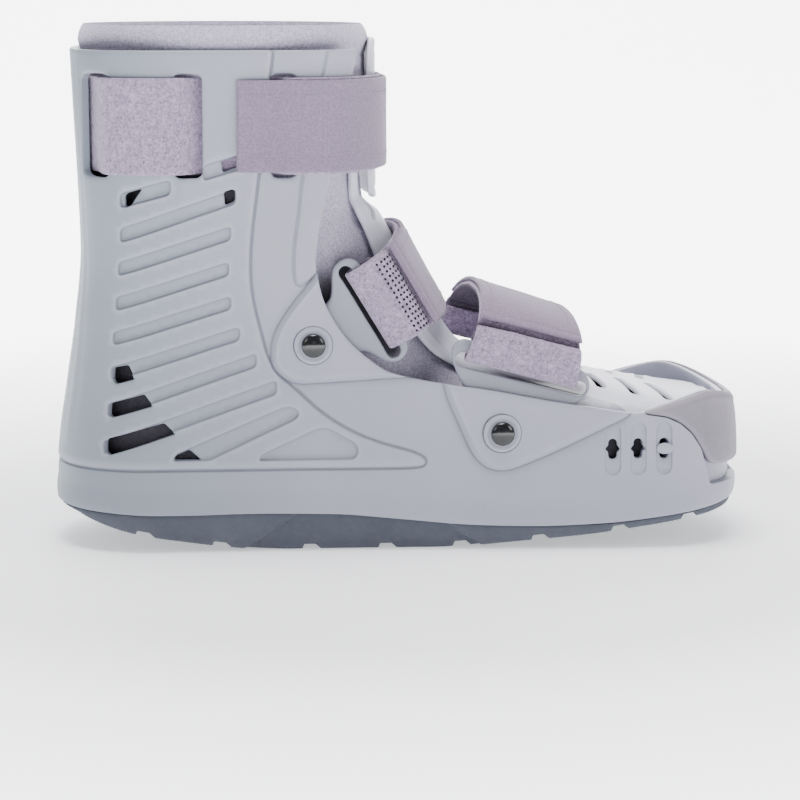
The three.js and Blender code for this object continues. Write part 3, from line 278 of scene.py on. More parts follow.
def rounded(points, reach, closed=True, step=0.8):
    """Outline with each corner turned into a short curve, sampled evenly."""
    p = np.asarray(points, float)
    n = len(p)
    out = []
    for i in range(n):
        if not closed and i in (0, n - 1):
            out.append(p[i])
            continue
        a, b, c = p[i - 1], p[i], p[(i + 1) % n]
        la, lc = np.linalg.norm(a - b), np.linalg.norm(c - b)
        ra, rc = min(reach, 0.49 * la), min(reach, 0.49 * lc)
        start, end = b + (a - b) * ra / la, b + (c - b) * rc / lc
        for t in np.linspace(0, 1, 9):
            out.append(start * (1 - t) ** 2 + b * 2 * t * (1 - t) + end * t * t)
    return resample(np.array(out), step, closed)


def resample(line, step, closed=False):
    """Points at about even steps along a line."""
    line = np.asarray(line, float)
    if closed:
        line = np.vstack([line, line[:1]])
    run = lengths_along(line)
    keep = np.concatenate([[True], np.diff(run) > 1e-9])
    line, run = line[keep], run[keep]
    count = max(3, int(round(run[-1] / step)))
    at = np.linspace(0, run[-1], count + 1)
    out = np.column_stack([np.interp(at, run, line[:, j]) for j in range(line.shape[1])])
    return out[:-1] if closed else out


def stadium(p, q, half, step=0.5):
    """Slot outline with round ends from p to q."""
    p, q = np.asarray(p, float), np.asarray(q, float)
    turn = math.atan2(q[1] - p[1], q[0] - p[0])
    out = []
    for centre, start in ((q, -math.pi / 2), (p, math.pi / 2)):
        for a in np.linspace(0, math.pi, 13) + turn + start:
            out.append(centre + half * np.array([math.cos(a), math.sin(a)]))
    return resample(np.array(out), step, True)


def circle(x, z, radius, count=40):
    """Round outline about a point."""
    a = np.linspace(0, 2 * math.pi, count, endpoint=False)
    return np.column_stack([x + radius * np.cos(a), z + radius * np.sin(a)])


def moved_out(line, distance):
    """Closed outline moved along its own normals, outward where distance is positive."""
    back, ahead = np.roll(line, 1, axis=0), np.roll(line, -1, axis=0)
    run = ahead - back
    run /= np.maximum(np.linalg.norm(run, axis=1, keepdims=True), 1e-9)
    normal = np.column_stack([run[:, 1], -run[:, 0]])
    area = 0.5 * np.sum(line[:, 0] * ahead[:, 1] - ahead[:, 0] * line[:, 1])
    return line + normal * distance * (1 if area > 0 else -1)


def gap_to_edges(pts, a, b):
    """Distance of points to the nearest of the straight edges from a to b."""
    p, a, ab = pts[:, None, :], a[None], (b - a)[None]
    t = np.clip(np.sum((p - a) * ab, axis=2) / np.maximum(np.sum(ab * ab, axis=2), 1e-12), 0, 1)
    return np.sqrt(np.min(np.sum((a + ab * t[..., None] - p) ** 2, axis=2), axis=1))


def signed(line, pts, margin=6.0):
    """Distance of points to a closed outline, negative inside, FAR beyond the margin."""
    out = np.full(len(pts), FAR)
    low, high = line.min(axis=0) - margin, line.max(axis=0) + margin
    near = np.nonzero(np.all((pts > low) & (pts < high), axis=1))[0]
    ahead = np.roll(line, -1, axis=0)
    for part in np.array_split(near, len(near) * len(line) // MOST_PAIRS + 1):
        if not len(part):
            continue
        p = pts[part][:, None, :]
        a, b = line[None], ahead[None]
        gap = gap_to_edges(pts[part], line, ahead)
        above = (a[..., 1] > p[..., 1]) != (b[..., 1] > p[..., 1])
        rise = np.where(np.abs(b[..., 1] - a[..., 1]) < 1e-12, 1e-12, b[..., 1] - a[..., 1])
        cross = p[..., 0] < (b[..., 0] - a[..., 0]) * (p[..., 1] - a[..., 1]) / rise + a[..., 0]
        inside = np.sum(above & cross, axis=1) % 2 == 1
        out[part] = np.where(inside, -gap, gap)
    return out


def ripple(pts, scale, seed, rounds=3):
    """Smooth noise from a fixed set of waves, about -1 to 1."""
    rng = np.random.default_rng(seed)
    total = np.zeros(len(pts))
    weight = 1.0
    for _ in range(rounds):
        for _ in range(5):
            way = rng.normal(size=3)
            way /= np.linalg.norm(way)
            total += weight * np.sin(pts @ way * (2 * math.pi / scale) * rng.uniform(0.7, 1.3)
                                     + rng.uniform(0, 6.28))
        scale *= 0.5
        weight *= 0.6
    return total / 5.0


# The outer form of the boot

class Form:
    """Outer side wall of the boot, looked up by the length round it from the heel and by height."""
    # Spacing of the points round the form, how many go on past its ends, how far the widths reach.
    STEP = 1.0
    SPARE = 24
    REACH = 160.0

    def __init__(self):
        self.heights = np.arange(0.0, 225.0, 1.0)
        m = {k: through(LEVELS[:, 0], LEVELS[:, i + 1], self.heights) for i, k in enumerate(
            ("back", "front", "w0", "w1", "w2", "w3", "back_cap", "front_cap", "back_power",
             "front_power"))}
        self.table = m
        across = np.arange(-self.REACH, self.REACH + 1)
        self.widths = np.array([through(STATIONS, [m[k][i] for k in ("w0", "w1", "w2", "w3")],
                                        across) for i in range(len(self.heights))])
        lines = [self.half_outline(i) for i in range(len(self.heights))]
        self.total = np.array([run[-1] for run, _ in lines])
        count = int(self.total.max() / self.STEP) + 2 * self.SPARE + 2
        self.grid = np.zeros((len(lines), count, 4))
        at = (np.arange(count) - self.SPARE) * self.STEP
        for i, (run, xy) in enumerate(lines):
            end = run[-1]
            mirror = np.where(at < 0, -at, np.where(at > end, np.maximum(2 * end - at, 0), at))
            flip = np.where((at < 0) | (at > end), -1.0, 1.0)
            x = np.interp(mirror, run, xy[:, 0])
            y = np.interp(mirror, run, xy[:, 1]) * flip
            dx, dy = np.gradient(x), np.gradient(y)
            long = np.maximum(np.hypot(dx, dy), 1e-9)
            self.grid[i] = np.column_stack([x, y, -dy / long, dx / long])

    def half_outline(self, i):
        """Half of the plan outline at a height, from the heel to the toe, and its lengths."""
        m = {k: v[i] for k, v in self.table.items()}

        def wide(x):
            return through(STATIONS, [m[k] for k in ("w0", "w1", "w2", "w3")], x)

        a = np.linspace(0, math.pi / 2, 60)
        pb, pf = 2 / m["back_power"], 2 / m["front_power"]
        xb = m["back"] + m["back_cap"] * (1 - np.cos(a) ** pb)
        xf = m["front"] - m["front_cap"] * (1 - np.cos(a) ** pf)
        start, end = m["back"] + m["back_cap"], m["front"] - m["front_cap"]
        xs = np.linspace(start, end, 80)[1:-1] if end > start else np.zeros(0)
        x = np.concatenate([xb, xs, xf[::-1]])
        y = np.concatenate([wide(xb) * np.sin(a) ** pb, wide(xs) if len(xs) else xs,
                            (wide(xf) * np.sin(a) ** pf)[::-1]])
        xy = np.column_stack([x, y])
        return lengths_along(xy), xy

    def at(self, s, z, d=0.0):
        """Point on the right side at length s, height z, moved out by d."""
        s, z = np.asarray(s, float), np.asarray(z, float)
        u = np.clip(s / self.STEP + self.SPARE, 0, self.grid.shape[1] - 1.001)
        v = np.clip(z - self.heights[0], 0, len(self.heights) - 1.001)
        i, j = v.astype(int), u.astype(int)
        a, b = (v - i)[:, None], (u - j)[:, None]
        g = self.grid
        p = ((g[i, j] * (1 - b) + g[i, j + 1] * b) * (1 - a)
             + (g[i + 1, j] * (1 - b) + g[i + 1, j + 1] * b) * a)
        long = np.maximum(np.hypot(p[:, 2], p[:, 3]), 1e-9)
        x = p[:, 0] + d * p[:, 2] / long
        y = p[:, 1] + d * p[:, 3] / long
        return np.column_stack([x, -y, z])

    def round_at(self, x, z):
        """Length round the form at which it reaches x, at height z."""
        out = []
        for xx, zz in zip(np.atleast_1d(x), np.atleast_1d(z)):
            v = min(max(zz - self.heights[0], 0), len(self.heights) - 1.001)
            i, a = int(v), v - int(v)
            back = self.table["back"][i] * (1 - a) + self.table["back"][i + 1] * a
            front = self.table["front"][i] * (1 - a) + self.table["front"][i + 1] * a
            total = self.total[i] * (1 - a) + self.total[i + 1] * a
            if xx <= back:
                out.append(xx - back)
            elif xx >= front:
                out.append(total + xx - front)
            else:
                row = self.grid[i, self.SPARE:, 0] * (1 - a) + self.grid[i + 1, self.SPARE:, 0] * a
                row = row[:int(total / self.STEP) + 1]
                out.append(np.interp(xx, row, np.arange(len(row)) * self.STEP))
        return np.array(out)

    def flat(self, line):
        """Side view outline laid out as length round the form and height."""
        line = np.asarray(line, float)
        return np.column_stack([self.round_at(line[:, 0], line[:, 1]), line[:, 1]])

    def level(self, z):
        """Values of the table at height z."""
        z = np.asarray(z, float)
        return {k: np.interp(z, self.heights, v) for k, v in self.table.items()}

    def width(self, x, z):
        """Half width between the ends, from the table of stations."""
        x, z = np.broadcast_arrays(np.asarray(x, float), np.asarray(z, float))
        v = np.clip(z, 0, len(self.heights) - 1.001)
        u = np.clip(x + self.REACH, 0, 2 * self.REACH - 0.001)
        i, j = v.astype(int), u.astype(int)
        a, b = v - i, u - j
        g = self.widths
        return ((g[i, j] * (1 - b) + g[i, j + 1] * b) * (1 - a)
                + (g[i + 1, j] * (1 - b) + g[i + 1, j + 1] * b) * a)

    def side(self, x, z):
        """Half width of the form at x and z, to nothing at the heel and toe."""
        m = self.level(z)
        x = np.asarray(x, float)
        wide = self.width(x, z)
        back = np.clip(1 - (x - m["back"]) / m["back_cap"], 0, 1)
        front = np.clip(1 - (m["front"] - x) / m["front_cap"], 0, 1)
        return (wide * (1 - back ** m["back_power"]) ** (1 / m["back_power"])
                * (1 - front ** m["front_power"]) ** (1 / m["front_power"]))


FORM = Form()


def on_form(points, d=0.0):
    """Flat points, length round the form and height, placed on its right side and moved out."""
    return FORM.at(points[:, 0], points[:, 1], d)


def total_at(z):
    """Length round half the form, from the heel to the toe, at height z."""
    return np.interp(z, FORM.heights, FORM.total)


# Mesh building

def new_piece(name, verts, faces, material, smooth_angle, attributes=None):
    """Closed mesh object from millimetre points, with its normals turned outward."""
    mesh = bpy.data.meshes.new(name)
    mesh.from_pydata((np.asarray(verts) * MM).tolist(), [], [list(map(int, f)) for f in faces])
    for key, values in (attributes or {}).items():
        layer = mesh.attributes.new(key, "FLOAT", "POINT")
        layer.data.foreach_set("value", np.asarray(values, np.float32))
    work = bmesh.new()
    work.from_mesh(mesh)
    bmesh.ops.remove_doubles(work, verts=work.verts, dist=2e-6)
    bmesh.ops.recalc_face_normals(work, faces=work.faces)
    if work.calc_volume(signed=True) < 0:
        bmesh.ops.reverse_faces(work, faces=work.faces)
    work.to_mesh(mesh)
    work.free()
    mesh.shade_smooth()
    mesh.set_sharp_from_angle(angle=math.radians(smooth_angle))
    mesh.materials.append(material)
    obj = bpy.data.objects.new(name, mesh)
    bpy.context.scene.collection.objects.link(obj)
    return obj


def edge_gap(outline, pts):
    """Distance to the edge of an outline, leaving out its runs down the heel and toe centre."""
    total = total_at(outline[:, 1])
    centre = (np.abs(outline[:, 0]) < 0.05) | (np.abs(outline[:, 0] - total) < 0.1)
    real = ~(centre & np.roll(centre, -1))
    a, b = outline[real], np.roll(outline, -1, axis=0)[real]
    few = max(1, MOST_PAIRS // len(a))
    return np.concatenate([gap_to_edges(pts[k:k + few], a, b) for k in range(0, len(pts), few)])


def relief(outline, holes, loops, spacing, at, rise, depth, soften):
    """One wall of a moulded piece over a flat outline.

    at(points, d) places flat points at offset d; rise and depth give the outer and inner offset
    at flat points; loops are extra lines the faces follow. Returns the flat points, both skins,
    their faces and the edges of the rim. soften is how much the edges are rounded."""
    lines = [outline] + list(holes)
    near, far = soften * 0.45, soften * 1.3
    fine = [moved_out(outline, -near), moved_out(outline, -far)]
    for h in holes:
        fine += [moved_out(h, near), moved_out(h, far)]
    every = lines + fine + list(loops)
    low, high = outline.min(axis=0), outline.max(axis=0)
    us = np.arange(low[0], high[0] + spacing, spacing)
    vs = np.arange(low[1], high[1] + spacing, spacing * 0.866)
    uu, vv = np.meshgrid(us, vs)
    uu[1::2] += spacing / 2
    grid = np.column_stack([uu.ravel(), vv.ravel()])
    inside = signed(outline, grid, EVERYWHERE) < -spacing * 0.4
    grid = grid[inside]
    for line in every:
        if not len(grid):
            break
        gap = np.abs(signed(line, grid, spacing))
        grid = grid[gap > spacing * 0.36]
    for h in holes:
        grid = grid[signed(h, grid) > 0]
    verts, edges = [], []
    for k, line in enumerate(every):
        keep = np.ones(len(line), bool)
        if k >= len(lines):
            keep = signed(outline, line, EVERYWHERE) < -0.02
            for h in holes:
                keep &= signed(h, line) > 0.02
        index = {}
        for i in np.nonzero(keep)[0]:
            index[i] = len(verts)
            verts.append(line[i])
        n = len(line)
        edges += [(index[i], index[(i + 1) % n]) for i in index if (i + 1) % n in index]
    verts += list(grid)
    made, _, tris, _, _, _ = delaunay_2d_cdt([Vector(v) for v in verts], edges, [], 0, 1e-4, True)
    flat = np.array([(v.x, v.y) for v in made])
    tris = np.array(tris)
    mid = flat[tris].mean(axis=1)
    ok = signed(outline, mid, EVERYWHERE) < 0
    for h in holes:
        ok &= signed(h, mid) > 0
    tris = tris[ok]
    a, b, c = (flat[tris[:, i]] for i in range(3))
    size = (b[:, 0] - a[:, 0]) * (c[:, 1] - a[:, 1]) - (b[:, 1] - a[:, 1]) * (c[:, 0] - a[:, 0])
    tris = tris[np.abs(size) > 1e-7]
    used = np.unique(tris)
    remap = np.full(len(flat), -1)
    remap[used] = np.arange(len(used))
    flat, tris = flat[used], remap[tris]
    border = edge_gap(outline, flat)
    for h in holes:
        border = np.minimum(border, np.abs(signed(h, flat)))
    ease = soften * np.clip(1 - border / far, 0, 1) ** 2
    outer = at(flat, rise(flat) - ease)
    inner = at(flat, depth(flat) + ease)
    n = len(flat)
    faces = [tuple(t) for t in tris] + [(t[2] + n, t[1] + n, t[0] + n) for t in tris]
    seen = dict.fromkeys((t[i], t[(i + 1) % 3]) for t in tris for i in range(3))
    rim = [e for e in seen if (e[1], e[0]) not in seen]
    return flat, outer, inner, faces, rim


def face_only(values, halves=1):
    """Values on the outer skin and none on the inner one, for each half of a piece."""
    return np.tile(np.concatenate([values, np.zeros(len(values))]), halves)


def closed_wall(outer, inner, faces, rim):
    """One side of a piece: both skins and the rim between them."""
    n = len(outer)
    return np.vstack([outer, inner]), list(faces) + [(b, a, a + n, b + n) for a, b in rim]


def two_sided(outer, inner, faces, rim):
    """Both halves of a symmetric piece: the wall, its rims and its mirror image, in one mesh.

    An edge of the rim that lies on the middle plane gets no rim face."""
    n = len(outer)
    points = np.vstack([outer, inner])
    middle = np.abs(points[:, 1]) < 0.02
    points[middle, 1] = 0.0
    half = list(faces)
    half += [(b, a, a + n, b + n) for a, b in rim if not (middle[a] and middle[b])]
    other = points * np.array([1, -1, 1])
    verts = np.vstack([points, other])
    shift = len(points)
    mirrored = [tuple(v + shift for v in reversed(f)) for f in half]
    return verts, half + mirrored


def tube_faces(count, rows, closed_rows=False):
    """Faces of a grid of rows of count points, each row a closed ring."""
    faces = []
    for i in range(rows if closed_rows else rows - 1):
        k = (i + 1) % rows
        for j in range(count):
            m = (j + 1) % count
            faces.append((i * count + j, i * count + m, k * count + m, k * count + j))
    return faces


def end_faces(count, total):
    """Faces that close the first and the last ring of a row of rings."""
    return [tuple(range(count)), tuple(range(total - count, total))]


def lathe(profile, centre, steps=64):
    """Turned body on the right side, about a line along Y, closed by a face at each end.

    The profile gives each ring's radius and how far out from the centre it lies."""
    a = np.linspace(0, 2 * math.pi, steps, endpoint=False)
    rings = [np.column_stack([centre[0] + r * np.cos(a), np.full(steps, centre[1] - h),
                              centre[2] + r * np.sin(a)]) for r, h in profile]
    verts = np.vstack(rings)
    faces = tube_faces(steps, len(rings))
    return verts, faces + end_faces(steps, len(verts))


# Finishes

class Finish:
    """A node material under construction: keeps the tree and its shader at hand."""

    def __init__(self, name, **shader):
        self.material = bpy.data.materials.new(name)
        self.material.use_nodes = True
        self.tree = self.material.node_tree
        self.shader = self.tree.nodes["Principled BSDF"]
        for key, value in shader.items():
            self.shader.inputs[key.replace("_", " ")].default_value = value
        self.place = self.node("ShaderNodeTexCoord").outputs["Object"]

    def node(self, kind, inputs=None, **settings):
        made = self.tree.nodes.new(kind)
        for key, value in settings.items():
            setattr(made, key, value)
        for key, value in (inputs or {}).items():
            if isinstance(value, bpy.types.NodeSocket):
                self.tree.links.new(value, made.inputs[key])
            else:
                made.inputs[key].default_value = value
        return made

    def noise(self, scale, detail=3.0, rough=0.6, place=None):
        made = self.node("ShaderNodeTexNoise", {"Vector": place or self.place, "Scale": scale,
                                                "Detail": detail, "Roughness": rough})
        return made.outputs["Fac"]

    def ramp(self, value, stops):
        made = self.node("ShaderNodeValToRGB", {"Fac": value})
        points = made.color_ramp.elements
        while len(points) < len(stops):
            points.new(0.5)
        for point, (at, colour) in zip(points, stops):
            point.position = at
            point.color = colour
        return made.outputs["Color"]

    def range(self, value, low, high, to_low=0.0, to_high=1.0):
        return self.node("ShaderNodeMapRange", {"Value": value, "From Min": low, "From Max": high,
                                                "To Min": to_low, "To Max": to_high}).outputs[0]

    def mix(self, share, a, b):
        made = self.node("ShaderNodeMix", data_type="RGBA")
        for index, value in ((0, share), (6, a), (7, b)):
            if isinstance(value, bpy.types.NodeSocket):
                self.tree.links.new(value, made.inputs[index])
            else:
                made.inputs[index].default_value = value
        return made.outputs[2]

    def maths(self, operation, a, b=0.0):
        made = self.node("ShaderNodeMath", {0: a, 1: b}, operation=operation)
        return made.outputs[0]

    def attribute(self, name):
        return self.node("ShaderNodeAttribute", attribute_name=name).outputs["Fac"]

    def blend_by_attribute(self, body, name, colour):
        """The body colour, giving way to another by the piece's own attribute."""
        return self.mix(self.attribute(name), body, colour)

    def dim_sheen(self):
        """The sheen, fading where the piece's attribute says that it lies in shade."""
        sheen = self.shader.inputs["Sheen Weight"]
        lit = self.range(self.attribute("dirt"), 0.0, 0.9, sheen.default_value, 0.0)
        self.tree.links.new(lit, sheen)

    def bump(self, height, distance, strength=1.0, under=None):
        inputs = {"Height": height, "Distance": distance, "Strength": strength}
        if under is not None:
            inputs["Normal"] = under
        return self.node("ShaderNodeBump", inputs).outputs["Normal"]

    def finish(self, colour=None, roughness=None, normal=None):
        for key, value in (("Base Color", colour), ("Roughness", roughness), ("Normal", normal)):
            if value is not None:
                self.tree.links.new(value, self.shader.inputs[key])
        return self.material


def shade(colour, share):
    """Colour made lighter or darker by a share."""
    return tuple(min(1.0, c * share) for c in colour[:3]) + (1.0,)


def moulded(name, colour, rough, grain=1.0, heel_shade=0.0):
    """Satin moulded plastic: faint flow marks, a fine grain and lighter edges, partly rubbed and
    partly painted highlight.

    The last value darkens it towards the heel, by up to that share: painted shade on the back of the
    boot, which turns away from the light."""
    f = Finish(name, IOR=1.5, Specular_IOR_Level=0.42)
    broad = f.noise(9.0, 2.0)
    body = f.ramp(broad, [(0.35, shade(colour, 0.965)), (0.65, shade(colour, 1.03))])
    specks = f.noise(950.0, 2.0)
    body = f.mix(f.range(specks, 0.35, 0.7, 0.0, 0.10), body, shade(colour, 0.86))
    # Painted shade: darker towards the heel, where the back of the boot turns away from the light.
    if heel_shade:
        side = f.node("ShaderNodeSeparateXYZ", {"Vector": f.place}).outputs["X"]
        body = f.mix(f.range(side, -0.04, -0.15, 0.0, heel_shade), body,
                     (colour[0] * 0.52, colour[1] * 0.63, colour[2] * 0.61, 1.0))
    # Lighter edges, partly rubbed and partly painted highlight, where the piece's attribute for them
    # is set.
    body = f.blend_by_attribute(body, "rub", shade(colour, 1.16))
    # Painted shade where the piece's attribute for it is set: half tone on the shell, near black on
    # the other pieces.
    body = f.blend_by_attribute(body, "dirt", shade(colour, 0.5 if heel_shade else 0.08))
    rough_map = f.range(f.noise(38.0, 4.0), 0.3, 0.7, rough - 0.05, rough + 0.07)
    fine = f.bump(f.noise(2600.0, 2.0), 0.00005, 0.45 * grain)
    soft = f.bump(f.noise(55.0, 2.0), 0.00035, 0.16 * grain, fine)
    return f.finish(body, rough_map, soft)


def rubber(name, colour, rough, grain):
    """Matte moulded rubber with a dusty bloom and scuffed edges."""
    f = Finish(name, IOR=1.48, Specular_IOR_Level=0.3)
    bloom = f.noise(26.0, 5.0)
    body = f.ramp(bloom, [(0.32, shade(colour, 0.88)), (0.68, shade(colour, 1.12))])
    body = f.mix(f.range(f.noise(420.0, 3.0), 0.5, 0.75, 0.0, 0.3), body, shade(colour, 1.3))
    body = f.blend_by_attribute(body, "rub", shade(colour, 1.35))
    # Painted shade, where a piece sets the attribute for it.
    body = f.blend_by_attribute(body, "dirt", shade(colour, 0.45))
    rough_map = f.range(f.noise(60.0, 4.0), 0.3, 0.7, rough - 0.06, rough + 0.08)
    fine = f.bump(f.noise(1500.0, 3.0), 0.00012, 0.5 * grain)
    return f.finish(body, rough_map, fine)


def lacquered(name, colour):
    """Black lacquered metal: near mirror, with fine marks of rubbing."""
    f = Finish(name, IOR=1.5, Specular_IOR_Level=0.5, Coat_Weight=0.5, Coat_Roughness=0.05)
    marks = f.noise(420.0, 4.0, 0.7)
    body = f.ramp(marks, [(0.4, shade(colour, 0.8)), (0.7, shade(colour, 1.5))])
    rough_map = f.range(f.noise(900.0, 3.0), 0.35, 0.7, 0.14, 0.3)
    return f.finish(body, rough_map, f.bump(f.noise(120.0, 2.0), 0.0002, 0.12))


def fleece(name, colour):
    """Brushed loop fleece: tangled light tips over darker gaps, with a soft sheen."""
    f = Finish(name, Specular_IOR_Level=0.12, Sheen_Weight=0.35, Sheen_Roughness=0.45)
    wander = f.node("ShaderNodeVectorMath", {0: f.place, 1: f.node("ShaderNodeVectorMath", {
        0: f.node("ShaderNodeTexNoise", {"Vector": f.place, "Scale": 900.0}).outputs["Color"],
        "Scale": 0.0012}, operation="SCALE").outputs[0]}, operation="ADD").outputs[0]
    curls = f.noise(1050.0, 3.0, 0.65, wander)
    tufts = f.noise(420.0, 3.0, 0.6, wander)
    both = f.maths("ADD", f.maths("MULTIPLY", curls, 0.62), f.maths("MULTIPLY", tufts, 0.38))
    body = f.ramp(both, [(0.34, shade(colour, 0.42)), (0.45, shade(colour, 0.84)),
                         (0.54, shade(colour, 1.12)), (0.66, shade(colour, 1.55))])
    body = f.mix(f.range(f.noise(60.0, 2.0), 0.35, 0.65, 0.0, 0.18), body, shade(colour, 0.8))
    # Painted shade where the strap's attribute for it is set.
    body = f.blend_by_attribute(body, "dirt", shade(colour, 0.10))
    f.dim_sheen()
    normal = f.bump(both, 0.0011, 0.85)
    return f.finish(body, f.range(curls, 0.3, 0.7, 0.82, 0.98), normal)


def knit(name, colour, contrast, pile, shaded=False):
    """Close knitted face cloth: fine loops and soft patches where use has darkened it.

    shaded is for a piece with an attribute for the shade that it lies in."""
    f = Finish(name, Specular_IOR_Level=0.15, Sheen_Weight=0.25, Sheen_Roughness=0.4)
    grain = f.noise(1500.0, 2.0, 0.6)
    loops = f.node("ShaderNodeTexVoronoi", {"Vector": f.place, "Scale": 900.0,
                                            "Randomness": 0.75}).outputs["Distance"]
    both = f.maths("ADD", f.maths("MULTIPLY", grain, 0.6), f.maths("MULTIPLY", loops, 0.5))
    body = f.ramp(both, [(0.34, shade(colour, 1 - 0.20 * contrast)), (0.55, shade(colour, 1.0)),
                         (0.76, shade(colour, 1 + 0.16 * contrast))])
    body = f.mix(f.range(f.noise(34.0, 3.0), 0.35, 0.65, 0.0, 0.22), body, shade(colour, 0.86))
    if shaded:
        # Painted shade where the liner's attribute for it is set, behind the shell's windows and
        # slots and under the plates.
        body = f.blend_by_attribute(body, "dirt", shade(colour, 0.05))
        f.dim_sheen()
    normal = f.bump(both, 0.0005 * pile, 0.55)
    return f.finish(body, f.range(grain, 0.3, 0.7, 0.75, 0.95), normal)


def thread(name, colour):
    """Twisted sewing thread."""
    f = Finish(name, Specular_IOR_Level=0.3, Sheen_Weight=0.2)
    twist = f.noise(2200.0, 2.0)
    body = f.ramp(twist, [(0.35, shade(colour, 0.7)), (0.65, shade(colour, 1.15))])
    return f.finish(body, f.range(twist, 0.3, 0.7, 0.6, 0.85), f.bump(twist, 0.0002, 0.5))


def hole_shade(name):
    """Painted shade inside an opening in the mesh cloth: near black, with faint fibres."""
    f = Finish(name, Specular_IOR_Level=0.05)
    fibres = f.noise(1400.0, 2.0)
    body = f.ramp(fibres, [(0.4, (0.012, 0.012, 0.018, 1)), (0.75, (0.05, 0.048, 0.06, 1))])
    return f.finish(body, f.range(fibres, 0.3, 0.7, 0.85, 1.0))


# Each material: what makes it, its colour in the panel, if any, and the maker's other values.
FINISHES = {
    "shell_plastic": (moulded, "shell", 0.44, 1.0, 0.85),
    "washer_plastic": (moulded, "shell", 0.40),
    "plate_plastic": (moulded, "plate", 0.42),
    "loop_plastic": (moulded, "loop", 0.38, 0.7),
    "bumper_rubber": (rubber, "bumper", 0.55, 0.5),
    "sole_rubber": (rubber, "sole", 0.74, 1.3),
    "rivet_lacquer": (lacquered, "rivet"),
    "strap_fleece": (fleece, "strap"),
    "cover_cloth": (knit, "cover", 1.0, 1.0),
    "liner_cloth": (knit, "liner", 1.5, 1.4, True),
    "binding_thread": (thread, "thread"),
    "mesh_hole": (hole_shade, None),
}


def finish_of(name):
    """The material of a name, made once from the colours in the panel."""
    if name not in bpy.data.materials:
        make, key, *values = FINISHES[name]
        if key:
            values.insert(0, tuple(getattr(bpy.context.scene.boot_colours, key)) + (1,))
        make(name, *values)
    return bpy.data.materials[name]


# Shell and bumper

def bottom_z(x):
    """Height of the shell's lower edge at x."""
    xs, zs = zip(*SHELL_BOTTOM)
    return through(xs, zs, x)


def along_bottom(step=1.2):
    """Line along the lower edge of the wall, from the heel centre to the toe centre.

    It starts from about the right heights, which a few rounds make exact."""
    heel_height, toe_height = 17.0, 18.6
    total = float(total_at(toe_height))
    s = np.linspace(0, total, int(total / step) + 1)
    z = np.full(len(s), heel_height)
    for _ in range(4):
        z = bottom_z(FORM.at(s, z)[:, 0])
    s[-1] = total_at(z[-1])
    return np.column_stack([s, z])


def toe_line(low, high, step=1.2):
    """Line up the toe centre."""
    z = np.linspace(low, high, max(2, int(abs(high - low) / step)) + 1)
    return np.column_stack([total_at(z), z])


def edge_line(step=1.0):
    """Upper edge of the shell from the toe centre back and up the leg, laid out flat."""
    side = rounded(SHELL_EDGE, FAR, closed=False, step=step)
    flat = FORM.flat(side)
    keep = flat[:, 0] < total_at(flat[:, 1]) - 0.6
    start = int(np.argmax(keep))
    return flat[start:]


def stack_lines(*lines):
    """One closed outline from lines that meet end to end."""
    out = [lines[0]]
    for line in lines[1:]:
        if np.linalg.norm(line[0] - out[-1][-1]) < 0.4:
            line = line[1:]
        out.append(line)
    flat = np.vstack(out)
    if np.linalg.norm(flat[0] - flat[-1]) < 0.4:
        flat = flat[:-1]
    return flat


def stepped(gap, points):
    """Height over an edge at a distance from it, by straight steps."""
    xs, ys = zip(*points)
    return np.interp(gap, xs, ys)


def slot_shape(left, right, left_z, right_z, height):
    """Slanted slot with upright ends."""
    h = height / 2
    return rounded([(left, left_z - h), (right, right_z - h), (right, right_z + h),
                    (left, left_z + h)], 2.3, step=0.9)


def key_shape(x, z):
    """Keyhole outline: an upright slot with a wider middle."""
    half = [(0, 4.4), (1.3, 4.0), (1.9, 3.0), (2.0, 1.5), (3.1, 0.25), (3.1, -0.25), (2.0, -1.3),
            (1.9, -3.0), (1.3, -4.0), (0, -4.4)]
    right = [(x + a, z + b) for a, b in half]
    left = [(x - a, z + b) for a, b in half[-2:0:-1]]
    return resample(np.array(right + left), 0.5, True)


def box_shape(x0, x1, z0, z1, reach):
    """Upright rectangle with rounded corners."""
    return rounded([(x0, z0), (x1, z0), (x1, z1), (x0, z1)], reach, step=0.9)


# Steps over the edges of what stands out of the shell or is let into it: distance from the edge,
# negative inside, and height. A STEP is a share of the full height, a GROOVE is in millimetres.
PANEL_STEP = [(-1.5, 1.0), (-0.95, 0.97), (-0.3, 0.62), (0.05, 0.0)]
PANEL_GROOVE = [(-0.1, 0.0), (0.3, -0.55), (0.7, -0.55), (1.35, 0.0)]
BOSS_STEP = [(-2.3, 1.0), (-1.75, 0.97), (-0.25, 0.14), (0.1, 0.0)]
BOSS_GROOVE = [(0.0, 0.0), (0.35, -0.35), (0.7, -0.35), (1.3, 0.0)]
KEYWAY_STEP = [(-0.6, 1), (-0.2, 0.85), (0.15, 0)]
SEAT_STEP = [(-0.4, 1), (0.0, 0)]
RECESS_STEP = [(-0.2, 1), (0.2, 0)]
SLOT_STEP = [(-1.1, 1.0), (-0.75, 0.97), (-0.45, 0.8), (-0.12, 0.2), (0.2, 0.03), (0.5, 0.0)]


